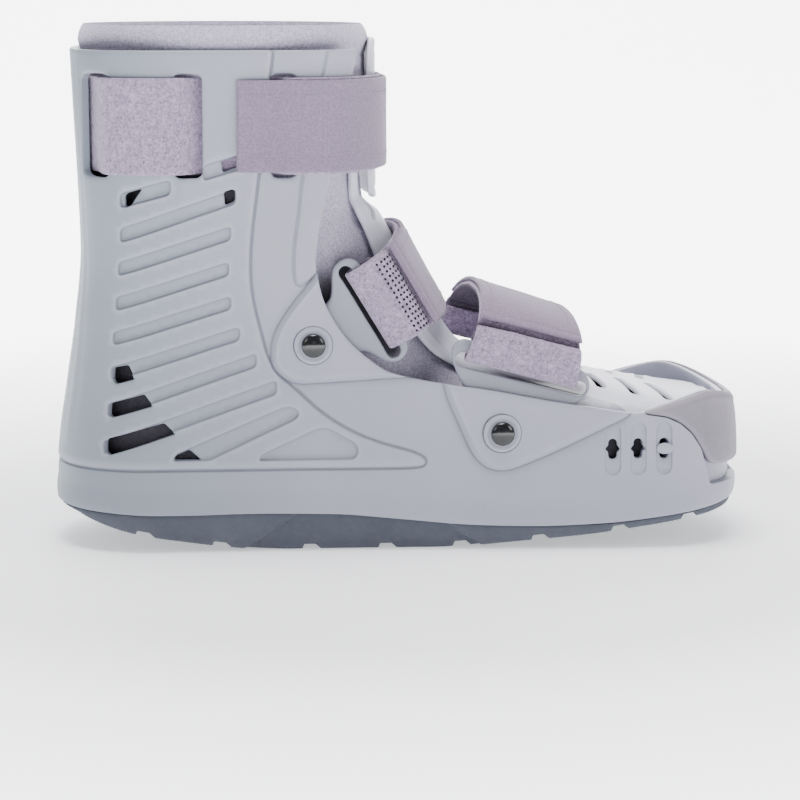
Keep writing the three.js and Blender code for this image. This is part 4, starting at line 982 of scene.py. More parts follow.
def make_shell(sizes):
    """Shell: one wall laid out flat, with its relief, set round the form and mirrored."""
    flat = FORM.flat
    bottom = along_bottom()
    edge = edge_line()
    toe = toe_line(bottom[-1, 1], edge[0, 1] - 0.1)
    top_s = np.linspace(edge[-1, 0], 0, int(edge[-1, 0] / 1.4))
    top = np.column_stack([top_s, np.full(len(top_s), SHELL_EDGE[-1][1])])
    heel_z = np.linspace(top[-1, 1], bottom[0, 1], 150)
    heel = np.column_stack([np.zeros(len(heel_z)), heel_z])
    outline = stack_lines(bottom, toe, edge, top, heel)

    panel = flat(rounded(PANEL, PANEL_ROUND, step=1.1))
    flange = flat(rounded(FLANGE, FLANGE_ROUND, step=1.1))
    bosses = [flat(rounded(b, BOSS_ROUND, step=1.0)) for b in (INSTEP_BOSS, BALL_BOSS)]
    cuts = [flat(slot_shape(*row)) for row in SLOTS]
    cuts += [flat(rounded(TAIL_SLOT, 2.0, step=0.9)), flat(rounded(TRIANGLE, 2.2, step=0.9))]
    tall, wide = KEYWAY
    keys = [flat(stadium((x, z - tall), (x, z + tall), wide, 0.7)) for x, z in KEYS]
    seats = [flat(circle(x, z, SEAT_RADIUS)) for x, z in RIVETS]
    recess = flat(rounded(TOE_RECESS, 1.2, step=1.0))
    holes = [flat(rounded(w, 0.9, step=0.6)) for w in WINDOWS]
    holes += [flat(key_shape(x, z)) for x, z in KEYS]
    holes += [flat(box_shape(a, b, STRAP_Z[0] - 1.6, STRAP_Z[1] + 1.6, 3.6)) for a, b in SHIN_SLOTS]

    loops = []
    for lines, moves in (([panel, flange], (-0.95, -0.3, 0.3, 0.7, 1.35)),
                         (bosses, (-2.0, -0.25, 0.35, 1.1)), (cuts, (-0.95, -0.5, -0.12, 0.3)),
                         (keys, (-0.6, -0.2, 0.15)), (seats, (-0.4, 0.0)),
                         ([recess], (-0.2, 0.2))):
        loops += [moved_out(line, d) for line in lines for d in moves]

    def gaps(points):
        """Distance of points to the edges of each kind of relief."""
        return dict(panel=signed(panel, points), flange=signed(flange, points),
                    boss=np.minimum(*[signed(b, points) for b in bosses]),
                    cut=np.min([signed(c, points) for c in cuts], axis=0),
                    key=np.min([signed(k, points) for k in keys], axis=0),
                    seat=np.minimum(*[signed(k, points) for k in seats]),
                    recess=signed(recess, points))

    def rise(points):
        g = gaps(points)
        x = on_form(points)[:, 0]
        level = sizes.panel_rise * np.maximum(stepped(g["panel"], PANEL_STEP),
                                              stepped(g["flange"], PANEL_STEP))
        level = np.maximum(level, sizes.boss_rise * stepped(g["boss"], BOSS_STEP))
        dip = np.minimum(stepped(g["panel"], PANEL_GROOVE), stepped(g["flange"], PANEL_GROOVE))
        level += dip * np.clip(g["boss"] / 0.6, 0, 1) + stepped(g["boss"], BOSS_GROOVE)
        floor = stepped(g["cut"], SLOT_STEP)
        level = level * (1 - floor) - sizes.slot_depth * floor
        level -= sizes.key_depth * stepped(g["key"], KEYWAY_STEP)
        level -= sizes.seat_depth * stepped(g["seat"], SEAT_STEP)
        above = points[:, 1] - bottom_z(x)
        level += 0.35 * np.exp(-((above - 3.2) / 4.0) ** 2)
        level -= 0.3 * np.exp(-((above - 10.0) / 2.0) ** 2)
        back = np.clip((points[:, 1] - 40) / 20, 0, 1)
        for line in HEEL_LINES:
            level -= sizes.heel_line * back * np.exp(-((points[:, 0] - line) / 1.6) ** 2)
        toe_in = stepped(g["recess"], RECESS_STEP)
        return level * (1 - toe_in) - sizes.toe_set_in * toe_in

    def depth(points):
        x = on_form(points)[:, 0]
        deep = np.clip((x - 90) / 5, 0, 1) * np.clip((57.5 - points[:, 1]) / 2.0, 0, 1)
        deep = np.maximum(deep, np.clip((x - 99) / 2, 0, 1) * stepped(signed(recess, points),
                                                                   [(-0.6, 1), (0, 0)]))
        level = -sizes.wall - sizes.toe_set_in * deep
        inside = stepped(np.minimum(*[signed(b, points) for b in bosses]),
                         [(-7, 1), (-5, 0.9), (-3, 0)])
        return level + (sizes.boss_rise - 0.2) * inside * (1 - deep)

    points, outer, inner, faces, rim = relief(outline, holes, loops, sizes.grid, on_form, rise,
                                              depth, 0.55)
    g = gaps(points)
    # Lighter bands at the top edges of the bosses and the panel and just outside the slots: partly
    # rubbed plastic, partly painted highlight where these edges catch the light.
    rub = np.exp(-(np.minimum(np.abs(g["boss"] + 1.9), np.abs(g["panel"] + 0.8)) / 0.5) ** 2)
    rub = np.maximum(rub, np.exp(-((g["cut"] - 0.35) / 0.45) ** 2)) * 0.5
    # Painted shade: darker lines in the grooves round the panel and the bosses, and along the inner
    # edges of the slot floors.
    dirt = np.exp(-((g["panel"] - 0.5) / 0.4) ** 2) * np.clip(g["boss"], 0, 1)
    dirt = np.maximum(dirt, np.exp(-((g["boss"] - 0.5) / 0.4) ** 2)) * 0.8
    dirt = np.maximum(dirt, 0.6 * np.exp(-((g["cut"] + 0.55) / 0.4) ** 2))
    x = on_form(points)[:, 0]
    over = np.clip(1 - (points[:, 1] - bottom_z(x)) / 14, 0, 1)
    inner[:, 2] += sizes.floor * over
    total = total_at(points[:, 1])
    centre = (np.abs(points[:, 0]) < 0.02) | (np.abs(points[:, 0] - total) < 0.08)
    outer[centre, 1] = 0.0
    inner[centre, 1] = 0.0
    low = np.abs(points[:, 1] - np.interp(points[:, 0], bottom[:, 0], bottom[:, 1])) < 0.05
    n = len(points)
    sides = [e for e in rim if not (low[e[0]] and low[e[1]])]
    verts, faces = two_sided(outer, inner, faces, sides)
    for a, b in rim:
        if low[a] and low[b]:
            faces.append((b, a, a + 2 * n, b + 2 * n))
            faces.append((a + n, b + n, b + 3 * n, a + 3 * n))
    return new_piece("boot_shell", verts, faces, finish_of("shell_plastic"), 30,
                     {"rub": face_only(rub, 2), "dirt": face_only(dirt, 2)})


def make_bumper(sizes):
    """Toe bumper: a thick skin over the set-in toe, with a lip along its upper edge."""
    flat = FORM.flat
    edge = edge_line(0.8)
    side = rounded(BUMPER[1:-1], 6.0, closed=False, step=0.8)
    arc = flat(side)
    arc = arc[arc[:, 0] < total_at(arc[:, 1]) - 0.5]
    top = edge[edge[:, 0] > arc[0, 0] + 0.3]
    toe = toe_line(BUMPER[-2][1], top[0, 1] - 0.1, 0.8)
    outline = stack_lines(arc, toe, top)

    def rise(points):
        gap = edge_gap(outline, points)
        up = np.interp(points[:, 0], top[::-1, 0], top[::-1, 1]) - points[:, 1]
        lip = 0.45 * np.exp(-((up - 2.8) / 1.2) ** 2) - 0.5 * np.clip(1 - up / 2.4, 0, 1)
        return sizes.bumper_rise - 0.25 * np.clip(1 - gap / 2.2, 0, 1) ** 2 + lip

    points, outer, inner, faces, rim = relief(
        outline, [], [moved_out(outline, d) for d in (-1.4, -2.4, -3.4)], 2.0, on_form, rise,
        lambda p: np.full(len(p), -sizes.wall), 0.7)
    total = total_at(points[:, 1])
    centre = np.abs(points[:, 0] - total) < 0.08
    outer[centre, 1] = 0.0
    inner[centre, 1] = 0.0
    verts, faces = two_sided(outer, inner, faces, rim)
    rub = 0.5 * np.exp(-((edge_gap(outline, points) - 0.9) / 0.6) ** 2)
    return new_piece("boot_toe_bumper", verts, faces, finish_of("bumper_rubber"), 40,
                     {"rub": face_only(rub, 2)})


def make_outsole(sizes):
    """Rocker outsole: sides, set-in waist, tread grooves and a finely toothed lower edge."""
    mid_height, tooth = 12.0, 1.25
    total = float(total_at(mid_height))
    s = np.append(np.arange(0, total, 0.4), total)
    x = FORM.at(s, np.full(len(s), mid_height), -sizes.sole_inset)[:, 0]
    tread = through(TREAD[:, 0], TREAD[:, 1], x)
    wave = np.abs(np.mod(x / tooth, 1.0) - 0.5) * 2
    lugs = np.ones(len(x))
    for g in GROOVES:
        depth = np.clip((3.9 - np.abs(x - g)) / 1.5, 0, 1)
        tread = tread + sizes.groove_depth * depth
        lugs *= 1 - depth
    tread = tread + 0.28 * wave * lugs
    top = bottom_z(x) - 0.35
    rows = 18
    flat_waist = np.array(WAIST, float)
    parts, heights = [], np.linspace(0, 1, rows)
    for k in heights:
        z = tread + (top - tread) * k
        gap = signed(flat_waist, np.column_stack([x, z]), 8.0)
        step = np.clip((0.7 - gap) / 1.4, 0, 1)
        inset = sizes.sole_inset + sizes.waist_inset * step * step * (3 - 2 * step)
        lip = 0.55 * np.clip(1 - k / 0.12, 0, 1) ** 2 + 0.3 * np.clip((k - 0.9) / 0.1, 0, 1)
        bulge = 0.25 * math.sin(math.pi * k)
        ribs = 0.10 * wave * np.clip(1 - k / 0.16, 0, 1)
        p = FORM.at(s, np.maximum(z, 0), -(inset + lip) + bulge - ribs)
        p[0, 1] = p[-1, 1] = 0.0
        parts.append(p)
    n = len(s)
    right = np.vstack(parts)
    verts = np.vstack([right, right * np.array([1, -1, 1])])
    faces = []
    shift = len(right)
    for i in range(rows - 1):
        for j in range(n - 1):
            f = (i * n + j, i * n + j + 1, (i + 1) * n + j + 1, (i + 1) * n + j)
            faces.append(f)
            faces.append(tuple(v + shift for v in reversed(f)))
    for row in (0, rows - 1):
        for j in range(n - 1):
            a = row * n + j
            faces.append((a, a + 1, a + 1 + shift, a + shift))
    low = np.tile(np.repeat(np.clip(1 - heights / 0.15, 0, 1), n), 2)
    return new_piece("boot_outsole", verts, faces, finish_of("sole_rubber"), 38,
                     {"rub": 0.35 * low})


# Loops, rivets, washers and pins

def pair(name, verts, faces, material, angle, attributes=None):
    """A right piece and its mirror image on the left."""
    verts = np.asarray(verts, float)
    made = []
    for side, flip in (("right", 1), ("left", -1)):
        made.append(new_piece(name + "_" + side, verts * np.array([1, flip, 1]), faces, material,
                              angle, attributes))
    return made


def make_loop(name, shape, slot, sizes):
    """Two strap loops: a flat plate round the form with a slot for the strap."""
    outline = FORM.flat(rounded(shape, LOOP_ROUND, step=0.8))
    ends = FORM.flat(np.array(slot) - np.array([0.0, 0.5]))
    hole = stadium(ends[0], ends[1], LOOP_SLOT_HALF + 0.4, 0.6)

    def rise(points):
        gap = -signed(outline, points, EVERYWHERE)
        ring = signed(hole, points, EVERYWHERE)
        level = -LOOP_OUT - 0.7 * np.clip(1 - gap / 2.2, 0, 1) ** 2
        return level - 0.2 * np.clip(1 - ring / 0.9, 0, 1) ** 2

    loops = [moved_out(outline, -1.2), moved_out(outline, -2.2), moved_out(hole, 0.9)]
    points, outer, inner, faces, rim = relief(
        outline, [hole], loops, 1.8, on_form, rise,
        lambda p: np.full(len(p), -LOOP_OUT - sizes.loop_thickness), 0.35)
    rub = 0.6 * np.exp(-((-signed(outline, points, EVERYWHERE) - 0.8) / 0.5) ** 2)
    verts, faces = closed_wall(outer, inner, faces, rim)
    return pair(name, verts, faces, finish_of("loop_plastic"), 40, {"rub": face_only(rub)})


def make_fasteners(sizes):
    """Domed rivets, the washers under their heads and the oval toe pins, by name."""
    made = {}
    r = sizes.rivet_head / 2
    shank, head, dome = 2.4, 2.35, 2.05
    rivet = [(shank, -5.05), (shank, 1.5), (r - 0.6, 1.5), (r - 0.1, 1.75), (r, 2.1),
             (r - 0.1, head)]
    rivet += [(r * math.cos(a), head + dome * math.sin(a))
              for a in np.radians([12, 24, 36, 48, 60, 70, 80])] + [(0.25, head + dome)]
    for name, (x, z) in zip(("instep", "ball"), RIVETS):
        centre = (x, -float(FORM.side(x, z)) - 2.0, z)
        verts, faces = lathe(rivet, centre, 56)
        made[name + "_rivet"] = pair("boot_" + name + "_rivet", verts, faces,
                                     finish_of("rivet_lacquer"), 45)
        verts = lathe(WASHER, centre, 64)[0]
        made[name + "_washer"] = pair("boot_" + name + "_washer", verts,
                                      tube_faces(64, len(WASHER), True),
                                      finish_of("washer_plastic"), 40)
    (x, z), (long, tall), steps = PIN, PIN_HALF, 40
    y = float(FORM.side(x, z)) - 0.55
    a = np.linspace(0, 2 * math.pi, steps, endpoint=False)
    rows = [np.column_stack([x + long * grow * np.cos(a), np.full(steps, -y - out),
                             z + tall * grow * np.sin(a)]) for grow, out in PIN_RINGS]
    faces = tube_faces(steps, len(rows)) + end_faces(steps, steps * len(rows))
    made["toe_pin"] = pair("boot_toe_pin", np.vstack(rows), faces, finish_of("washer_plastic"), 40)
    return made


# Liner and plates

def ring_table(r):
    """Values of the fan of rings at ring number r."""
    at = np.arange(len(RINGS))
    return [through(at, RINGS[:, k], r) for k in range(7)]


def ring_points(r, y, d):
    """Points on the fan of rings at half width y, moved out by d."""
    fx, fz, bx, bz, half, power, _ = ring_table(r)
    mx, mz, rx, rz = (fx + bx) / 2, (fz + bz) / 2, (fx - bx) / 2, (fz - bz) / 2
    long = np.hypot(rx, rz)
    share = np.clip(np.abs(y) / (half + d), 0, 1)
    u = (long + d) * (1 - share ** power) ** (1 / power)
    return np.stack([mx + rx / long * u, y, mz + rz / long * u], axis=-1)


def inside_form(points, d):
    """Points drawn in so that none stands outside the boot's form less d."""
    x, y, z = (points[..., k].copy() for k in range(3))
    d = np.broadcast_to(d, x.shape)
    m = FORM.level(z)
    wide = np.maximum(FORM.width(x, z) - d, 1.0)
    for end, way in (("back", 1), ("front", -1)):
        cap = m[end + "_cap"] - d
        u = np.clip((m[end] + way * m[end + "_cap"] - x) * way / cap, 0, None)
        power = m[end + "_power"]
        over = np.maximum((u ** power + (np.abs(y) / wide) ** power) ** (1 / power), 1.0)
        x = x + way * u * (1 - 1 / over) * cap
        y = y / over
    return np.stack([x, y, z], axis=-1)


def normals_of(grid, closed):
    """Unit normals of a grid of points whose second direction may close on itself."""
    along = np.gradient(grid, axis=0)
    if closed:
        across = np.roll(grid, -1, axis=1) - np.roll(grid, 1, axis=1)
    else:
        across = np.gradient(grid, axis=1)
    normal = np.cross(along, across)
    return normal / np.maximum(np.linalg.norm(normal, axis=2, keepdims=True), 1e-9)


def behind_slots(verts):
    """Share of shade where a point lies behind a loop slot."""
    shade_there = np.zeros(len(verts))
    for row in LOWER.values():
        a, b = (np.array(p) for p in row["slot"])
        p = verts[:, [0, 2]] + np.array([0, 1.0])
        k = np.clip((p - a) @ (b - a) / np.sum((b - a) ** 2), 0, 1)
        far = np.linalg.norm(p - a - k[:, None] * (b - a), axis=1)
        shade_there = np.maximum(shade_there, np.exp(-(far / 6.0) ** 4))
    return shade_there * np.clip((np.abs(verts[:, 1]) - 28) / 5, 0, 1)


def liner_shade(verts):
    """Share of shade on the liner: behind windows and slots, under the plates and in the toe."""
    x, z = verts[:, 0], verts[:, 2]
    dark = np.clip((-60 - x) / 10, 0, 1) * np.clip((175 - z) / 12, 0, 1) * 0.95
    dark = np.maximum(dark, 0.97 * np.clip((x - 55) / 8, 0, 1))
    dark = np.maximum(dark, 0.3 * np.clip((96 - z) / 10, 0, 1))
    gap = ((x + 34) / 12) ** 2 + ((z - 104) / 16) ** 2
    dark = np.maximum(dark, 0.97 * np.exp(-gap ** 2) * (z < 135))
    dark = np.maximum(dark, 0.97 * behind_slots(verts))
    slit = np.clip((x + 27) / 5, 0, 1) * np.clip((25 - np.abs(verts[:, 1])) / 2, 0, 1)
    return np.maximum(dark, 0.95 * slit * (z > 112) * (z < 147))


def make_liner(sizes):
    """Padded liner: a thick sock over the fan of rings, open at the collar, closed at the toe."""
    toe_start, toe_length, inner_flat, inner_end, steps = 13.2, 0.8, 13.4, 13.5, 220
    r = np.concatenate([np.linspace(0, 0.35, 12), np.linspace(0.4, toe_start, 190),
                        toe_start + toe_length * np.sin(np.linspace(0, math.pi / 2, 14))[1:]])
    a = np.linspace(0, 2 * math.pi, steps, endpoint=False)
    fx, fz, bx, bz, half, power, _ = (c[:, None] for c in ring_table(r))
    close = np.clip((r - toe_start) / toe_length, 0, 1)[:, None]
    draw = np.sqrt(np.clip(1 - close ** 2, 0.0004, 1))
    mx, mz, rx, rz = (fx + bx) / 2, (fz + bz) / 2, (fx - bx) / 2 * draw, (fz - bz) / 2 * draw
    c, s = np.cos(a)[None], np.sin(a)[None]
    u = np.sign(c) * np.abs(c) ** (2 / power)
    v = np.sign(s) * np.abs(s) ** (2 / power)
    grid = np.stack([mx + rx * u, half * draw * v, mz + rz * u], axis=-1)
    toe = np.clip((grid[..., 0] - 84) / 12, 0, 1) * np.clip((60 - grid[..., 2]) / 3, 0, 1)
    grid = inside_form(grid, 3.7 + 3.1 * toe)
    normal = normals_of(grid, True)
    if np.mean(normal[40, :, 1] * grid[40, :, 1]) < 0:
        normal = -normal
    flat = grid.reshape(-1, 3)
    soft = ripple(flat * np.array([1, 1, 1.8]), 34.0, 5, 3).reshape(grid.shape[:2])
    fine = ripple(flat, 5.0, 9, 2).reshape(grid.shape[:2])
    front = np.clip(grid[..., 0] / 30 + 1.2, 0, 1) * np.clip((grid[..., 2] - 60) / 30, 0, 1)
    high = grid[..., 2]
    fold = np.zeros_like(soft)
    for at, deep, wide in LINER_FOLDS:
        lean = at + 0.12 * (grid[..., 0] + 20) + 3.0 * soft
        fold -= deep * np.exp(-((high - lean) / wide) ** 2) * front
    collar = np.exp(-((high - 216.5) / 4.2) ** 2) * (high > 200)
    seam = np.exp(-((high - 209.5) / 0.7) ** 2)
    puff = 0.5 * soft * (0.3 + front) - 0.5 + 0.12 * fine + fold + 1.5 * collar - 0.9 * seam
    puff = np.where(high > 60, puff, np.minimum(puff, 0) * 0.3)
    thick = sizes.liner_wall + 0.6 * collar
    lip = np.clip(1 - np.arange(len(r)) / 11.0, 0, 1)[:, None]
    round_off = (1 - np.sqrt(1 - lip ** 2)) * (thick + puff) / 2
    outer = grid + normal * (puff * (1 - close) - round_off)[..., None]
    inner = grid - normal * (thick - round_off)[..., None]
    inner[r > inner_flat, :, 2] = grid[r > inner_flat, :, 2]
    rows = int(np.sum(r <= inner_end))
    tip = inner[rows - 1] * 0.3 + inner[rows - 1].mean(axis=0) * 0.7
    stack = np.concatenate([outer[::-1], inner[:rows], tip[None]])
    verts = stack.reshape(-1, 3)
    faces = tube_faces(steps, len(stack)) + end_faces(steps, len(verts))
    return new_piece("boot_liner", verts, faces, finish_of("liner_cloth"), 60,
                     {"dirt": liner_shade(verts)})


def make_front_plate(sizes):
    """Front plate: laid out flat across and along the fan of rings, over the liner."""
    over_liner, inside, steps = 1.3, 9.5, 400
    rs = np.linspace(1.9, 13.95, steps)
    centre = ring_points(rs, np.zeros(steps), over_liner)
    run = lengths_along(centre)
    half = through(np.arange(len(RINGS)), RINGS[:, 6], rs)
    half = half - 12.0 * np.exp(-((rs - 7.4) / 1.7) ** 2)
    half = half + 4.5 * np.clip((5.5 - rs) / 2.5, 0, 1)
    ts = np.arange(0, run[-1], 1.6)
    h = np.interp(ts, run, half)
    h[0] = h[0] - 1.5
    right = np.column_stack([h, ts])
    outline = rounded(np.vstack([right, right[::-1] * np.array([-1, 1])]), 7.0, step=1.2)

    def base(points):
        r = np.interp(points[:, 1], run, rs)
        return inside_form(ring_points(r, points[:, 0], over_liner), inside)

    def at(points, d):
        side, ahead = np.array([0.4, 0]), np.array([0, 0.4])
        n = np.cross(base(points + ahead) - base(points - ahead),
                     base(points + side) - base(points - side))
        n /= np.maximum(np.linalg.norm(n, axis=1, keepdims=True), 1e-9)
        n = n * np.where(n[:, 2:3] + n[:, 0:1] < 0, -1, 1)
        return base(points) + n * np.broadcast_to(d, len(n))[:, None]

    def place(x, y):
        """Flat point over a place in plan."""
        line = ring_points(rs, np.full(steps, float(y)), over_liner)
        return np.array([y, np.interp(x, line[:, 0], run)])

    holes = []
    for x0, y0, x1, y1, w in PLATE_SLOTS:
        for side in (-1, 1):
            holes.append(stadium(place(x0, side * y0), place(x1, side * y1), w, 0.6))
    for t, near, reach in PLATE_SLITS:
        for side in (-1, 1):
            holes.append(stadium((side * near, t), (side * reach, t + 6.0), 0.8, 0.5))

    def rise(points):
        gap = -signed(outline, points, EVERYWHERE)
        ridge = np.exp(-(points[:, 0] / 4.0) ** 2) * np.exp(-((points[:, 1] - 62) / 26) ** 4)
        rib = 0.8 * np.exp(-((gap - 3.5) / 1.3) ** 2)
        ring = np.min([signed(hole, points) for hole in holes], axis=0)
        lip = 0.5 * np.clip(1 - np.abs(ring - 1.4) / 1.4, 0, 1)
        return sizes.plate_thickness + 1.2 * ridge + rib + lip

    loops = [moved_out(outline, -k) for k in (2.2, 3.5, 4.8)]
    points, outer, inner, faces, rim = relief(outline, holes, loops, 2.4, at, rise,
                                              lambda p: np.zeros(len(p)), 0.7)
    verts, faces = closed_wall(outer, inner, faces, rim)
    return new_piece("boot_front_plate", verts, faces, finish_of("plate_plastic"), 35,
                     {"dirt": behind_slots(verts)})


def make_shin_plate(sizes):
    """Shin plate: bent round the front of the form, with a fine groove inside its edge."""
    zs, hs = SHIN_ROWS[:, 0], SHIN_ROWS[:, 1]
    outline = rounded(np.vstack([np.column_stack([hs, zs]), np.column_stack([-hs, zs])[::-1]]), 6.0,
                      step=1.0)

    def at(points, d):
        m = FORM.level(points[:, 1])
        y = np.abs(points[:, 0]) / m["w1"]
        p = m["front_power"]
        x = m["front"] - m["front_cap"] * (1 - (1 - y ** p) ** (1 / p))
        return np.column_stack([x + d, points[:, 0], points[:, 1]])

    def rise(points):
        gap = -signed(outline, points, EVERYWHERE)
        return -0.5 * np.exp(-((gap - 4.0) / 1.0) ** 2)

    points, outer, inner, faces, rim = relief(
        outline, [], [moved_out(outline, -k) for k in (3.0, 4.0, 5.0)], 1.9, at, rise,
        lambda p: np.full(len(p), -sizes.shin_thickness), 0.8)
    verts, faces = closed_wall(outer, inner, faces, rim)
    return new_piece("boot_shin_plate", verts, faces, finish_of("plate_plastic"), 35)


# Straps

def shares(width, inner=1.2):
    """Places across a strap, closer together at the two edges."""
    near = np.array([0.0, 0.1, 0.3, 0.6, 1.0, 1.6])
    mid = np.linspace(2.4, width - 2.4, max(4, int((width - 4.8) / inner)))
    return np.concatenate([near, mid, (width - near)[::-1]]) / width


def strap_lines(row, s):
    """Path of a lower strap for each place s across it: tail, turn round the bar, foot, arch."""
    out = []
    (r0, f0), (r1, f1) = row["slot"], row["top"]
    mid = -LOOP_OUT - LOOP_THICKNESS / 2
    for k in s:
        start = np.array(r0) * (1 - k) + np.array(f0) * k
        crown = np.array(r1) * (1 - k) + np.array(f1) * k
        up = (crown - start) / np.linalg.norm(crown - start)

        def at(a, d):
            x, z = start + up * a
            return (x, float(FORM.side(x, z)) + d, z)

        near = [at(a, mid - TURN_RADIUS) for a in np.linspace(TAIL, LOOP_SLOT_HALF, 10)[:-1]]
        for turn in np.radians(np.linspace(0, 180, 17)):
            near.append(at(LOOP_SLOT_HALF - TURN_RADIUS * math.sin(turn),
                           mid - TURN_RADIUS * math.cos(turn)))
        foot = np.array(at(LOOP_SLOT_HALF + LOOP_BAR + 0.4, mid + TURN_RADIUS))
        near.append(tuple(foot))
        near = resample(np.array(near), 0.1)
        at_rows = np.linspace(0, len(near) - 1, TAIL_ROWS).astype(int)
        a = np.linspace(0, math.pi / 2, 200)
        lift = np.sin(a) ** (2 / ARCH_POWER)
        top = np.column_stack([foot[0] + (crown[0] - foot[0]) * lift,
                               foot[1] * np.cos(a) ** (2 / ARCH_POWER),
                               foot[2] + (crown[1] - foot[2]) * lift])
        top[-1, 1] = 0.0
        go = lengths_along(top)
        even = np.linspace(0, go[-1], ARCH_ROWS)
        top = np.column_stack([np.interp(even, go, top[:, j]) for j in range(3)])
        half = np.vstack([near[at_rows], top[1:]]) * np.array([1, -1, 1])
        out.append(np.vstack([half, half[-2::-1] * np.array([1, -1, 1])]))
    return np.stack(out, axis=1)


def strap_normals(grid, closed=False):
    """Unit normals of a strap's grid, away from the foot or leg that it goes round."""
    if closed:
        along = np.roll(grid, -1, axis=0) - np.roll(grid, 1, axis=0)
    else:
        along = np.gradient(grid, axis=0)
    n = np.cross(along, np.gradient(grid, axis=1))
    n /= np.maximum(np.linalg.norm(n, axis=2, keepdims=True), 1e-9)
    return n if np.sum(n[..., 1] * grid[..., 1]) > 0 else -n


def quarter_round(distance, half):
    """How full a sheet is at a distance from its edge: a quarter round of radius half."""
    return np.sqrt(np.clip(1 - (1 - np.minimum(distance, half) / half) ** 2, 0, 1))


def cloth_piece(name, grid, low, high, material, closed=False, normal=None, lift=None, dirt=None):
    """Strap or cover with rounded edges over a grid of points, from low to high off the grid.

    Returns the piece, its outer face and its normals."""
    rows, cols = grid.shape[:2]
    n = strap_normals(grid, closed) if normal is None else normal
    across = np.concatenate([np.zeros((rows, 1)), np.cumsum(np.linalg.norm(
        np.diff(grid, axis=1), axis=2), axis=1)], axis=1)
    low, high = np.broadcast_to(low, (rows, cols)), np.broadcast_to(high, (rows, cols))
    half, mid = (high - low) / 2, (high + low) / 2
    full = quarter_round(np.minimum(across, across.max(axis=1, keepdims=True) - across), half)
    if not closed:
        go = lengths_along(grid[:, cols // 2])[:, None]
        full = full * quarter_round(np.minimum(go, go.max() - go), half)
    more = 0.0 if lift is None else lift * full
    outer = grid + n * (mid + half * full + more)[..., None]
    inner = grid + n * (mid - half * full)[..., None]
    verts = np.concatenate([outer.reshape(-1, 3), inner.reshape(-1, 3)])
    k = rows * cols
    faces = []
    for i in range(rows if closed else rows - 1):
        j = (i + 1) % rows
        for c in range(cols - 1):
            f = (i * cols + c, i * cols + c + 1, j * cols + c + 1, j * cols + c)
            faces += [f, tuple(v + k for v in reversed(f))]
    shading = {}
    # Painted shade: the given share on the outer face, and at least 0.7 on the inner face, which
    # lies against the foot.
    if dirt is not None:
        face = np.broadcast_to(dirt, (rows, cols)).ravel()
        shading["dirt"] = np.concatenate([face, np.maximum(face, 0.7)])
    return new_piece(name, verts, faces, material, 180, shading), outer, n


def make_lower_strap(name, sizes):
    """One strap over the foot and its cover.

    Returns each with its outer face and normals, and the row at which the cover starts."""
    row = LOWER[name]
    instep = name == "instep"
    width = np.linalg.norm(np.array(row["top"][0]) - np.array(row["top"][1]))
    grid = strap_lines(row, 0.02 + 0.96 * shares(width))
    rows = len(grid)
    at = np.minimum(np.arange(rows), rows - 1 - np.arange(rows))
    tail, roll, thin = TAIL_ROWS, sizes.fleece_roll, 2.0
    if instep:
        start, centre, wide, shaded = tail + 13, tail + 13, 1.6, 0.5
        thick = np.interp(at, [0, tail - 8, tail - 1, tail + 5, tail + 16, tail + 30],
                          [thin, thin, 2.8, roll, roll, sizes.fleece])
    else:
        start, centre, wide, shaded = tail + 11, tail + 9.5, 2.2, 0.85
        roll += 1.4
        thick = through([0, tail - 8, tail - 2, tail + 1, tail + 4, tail + 7, start - 2, start + 1,
                         start + 20, 400],
                        [thin, thin, 2.8, roll - 0.8, roll, roll - 0.9, sizes.fleece - 1.1,
                         sizes.fleece - 0.6, sizes.fleece, sizes.fleece + 0.01], at)
    flat = grid.reshape(-1, 3)
    fuzz = (0.24 * ripple(flat, 2.6, 3, 2) + 0.35 * ripple(flat, 16.0, 4, 2)).reshape(rows, -1)
    under = np.exp(-((at - centre) / wide) ** 2)[:, None]
    fuzz = fuzz * np.clip((at - tail + 2) / 6, 0, 1)[:, None] - 0.7 * under
    # Painted shade on the fleece where it runs in under the edge of its cover.
    strap = cloth_piece("boot_" + name + "_strap", grid, 0.0, thick[:, None],
                        finish_of("strap_fleece"), lift=fuzz, dirt=shaded * under)
    span = slice(start, rows - start)
    over = grid[span]
    low = sizes.fleece + 0.35 + np.maximum(thick[span][:, None] - sizes.fleece, 0)
    near = np.minimum(np.arange(len(over)), len(over) - 1 - np.arange(len(over)))[:, None]
    bend = 0.4 * ripple(over.reshape(-1, 3), 30.0, 12, 2).reshape(len(over), -1)
    seam = -0.35 * np.exp(-((near - 4.5) / 0.8) ** 2)
    cover = cloth_piece("boot_" + name + "_strap_cover", over, low, low + sizes.cover,
                        finish_of("cover_cloth"), normal=strap[2][span], lift=bend * 0.5 + seam)
    return strap, cover, start


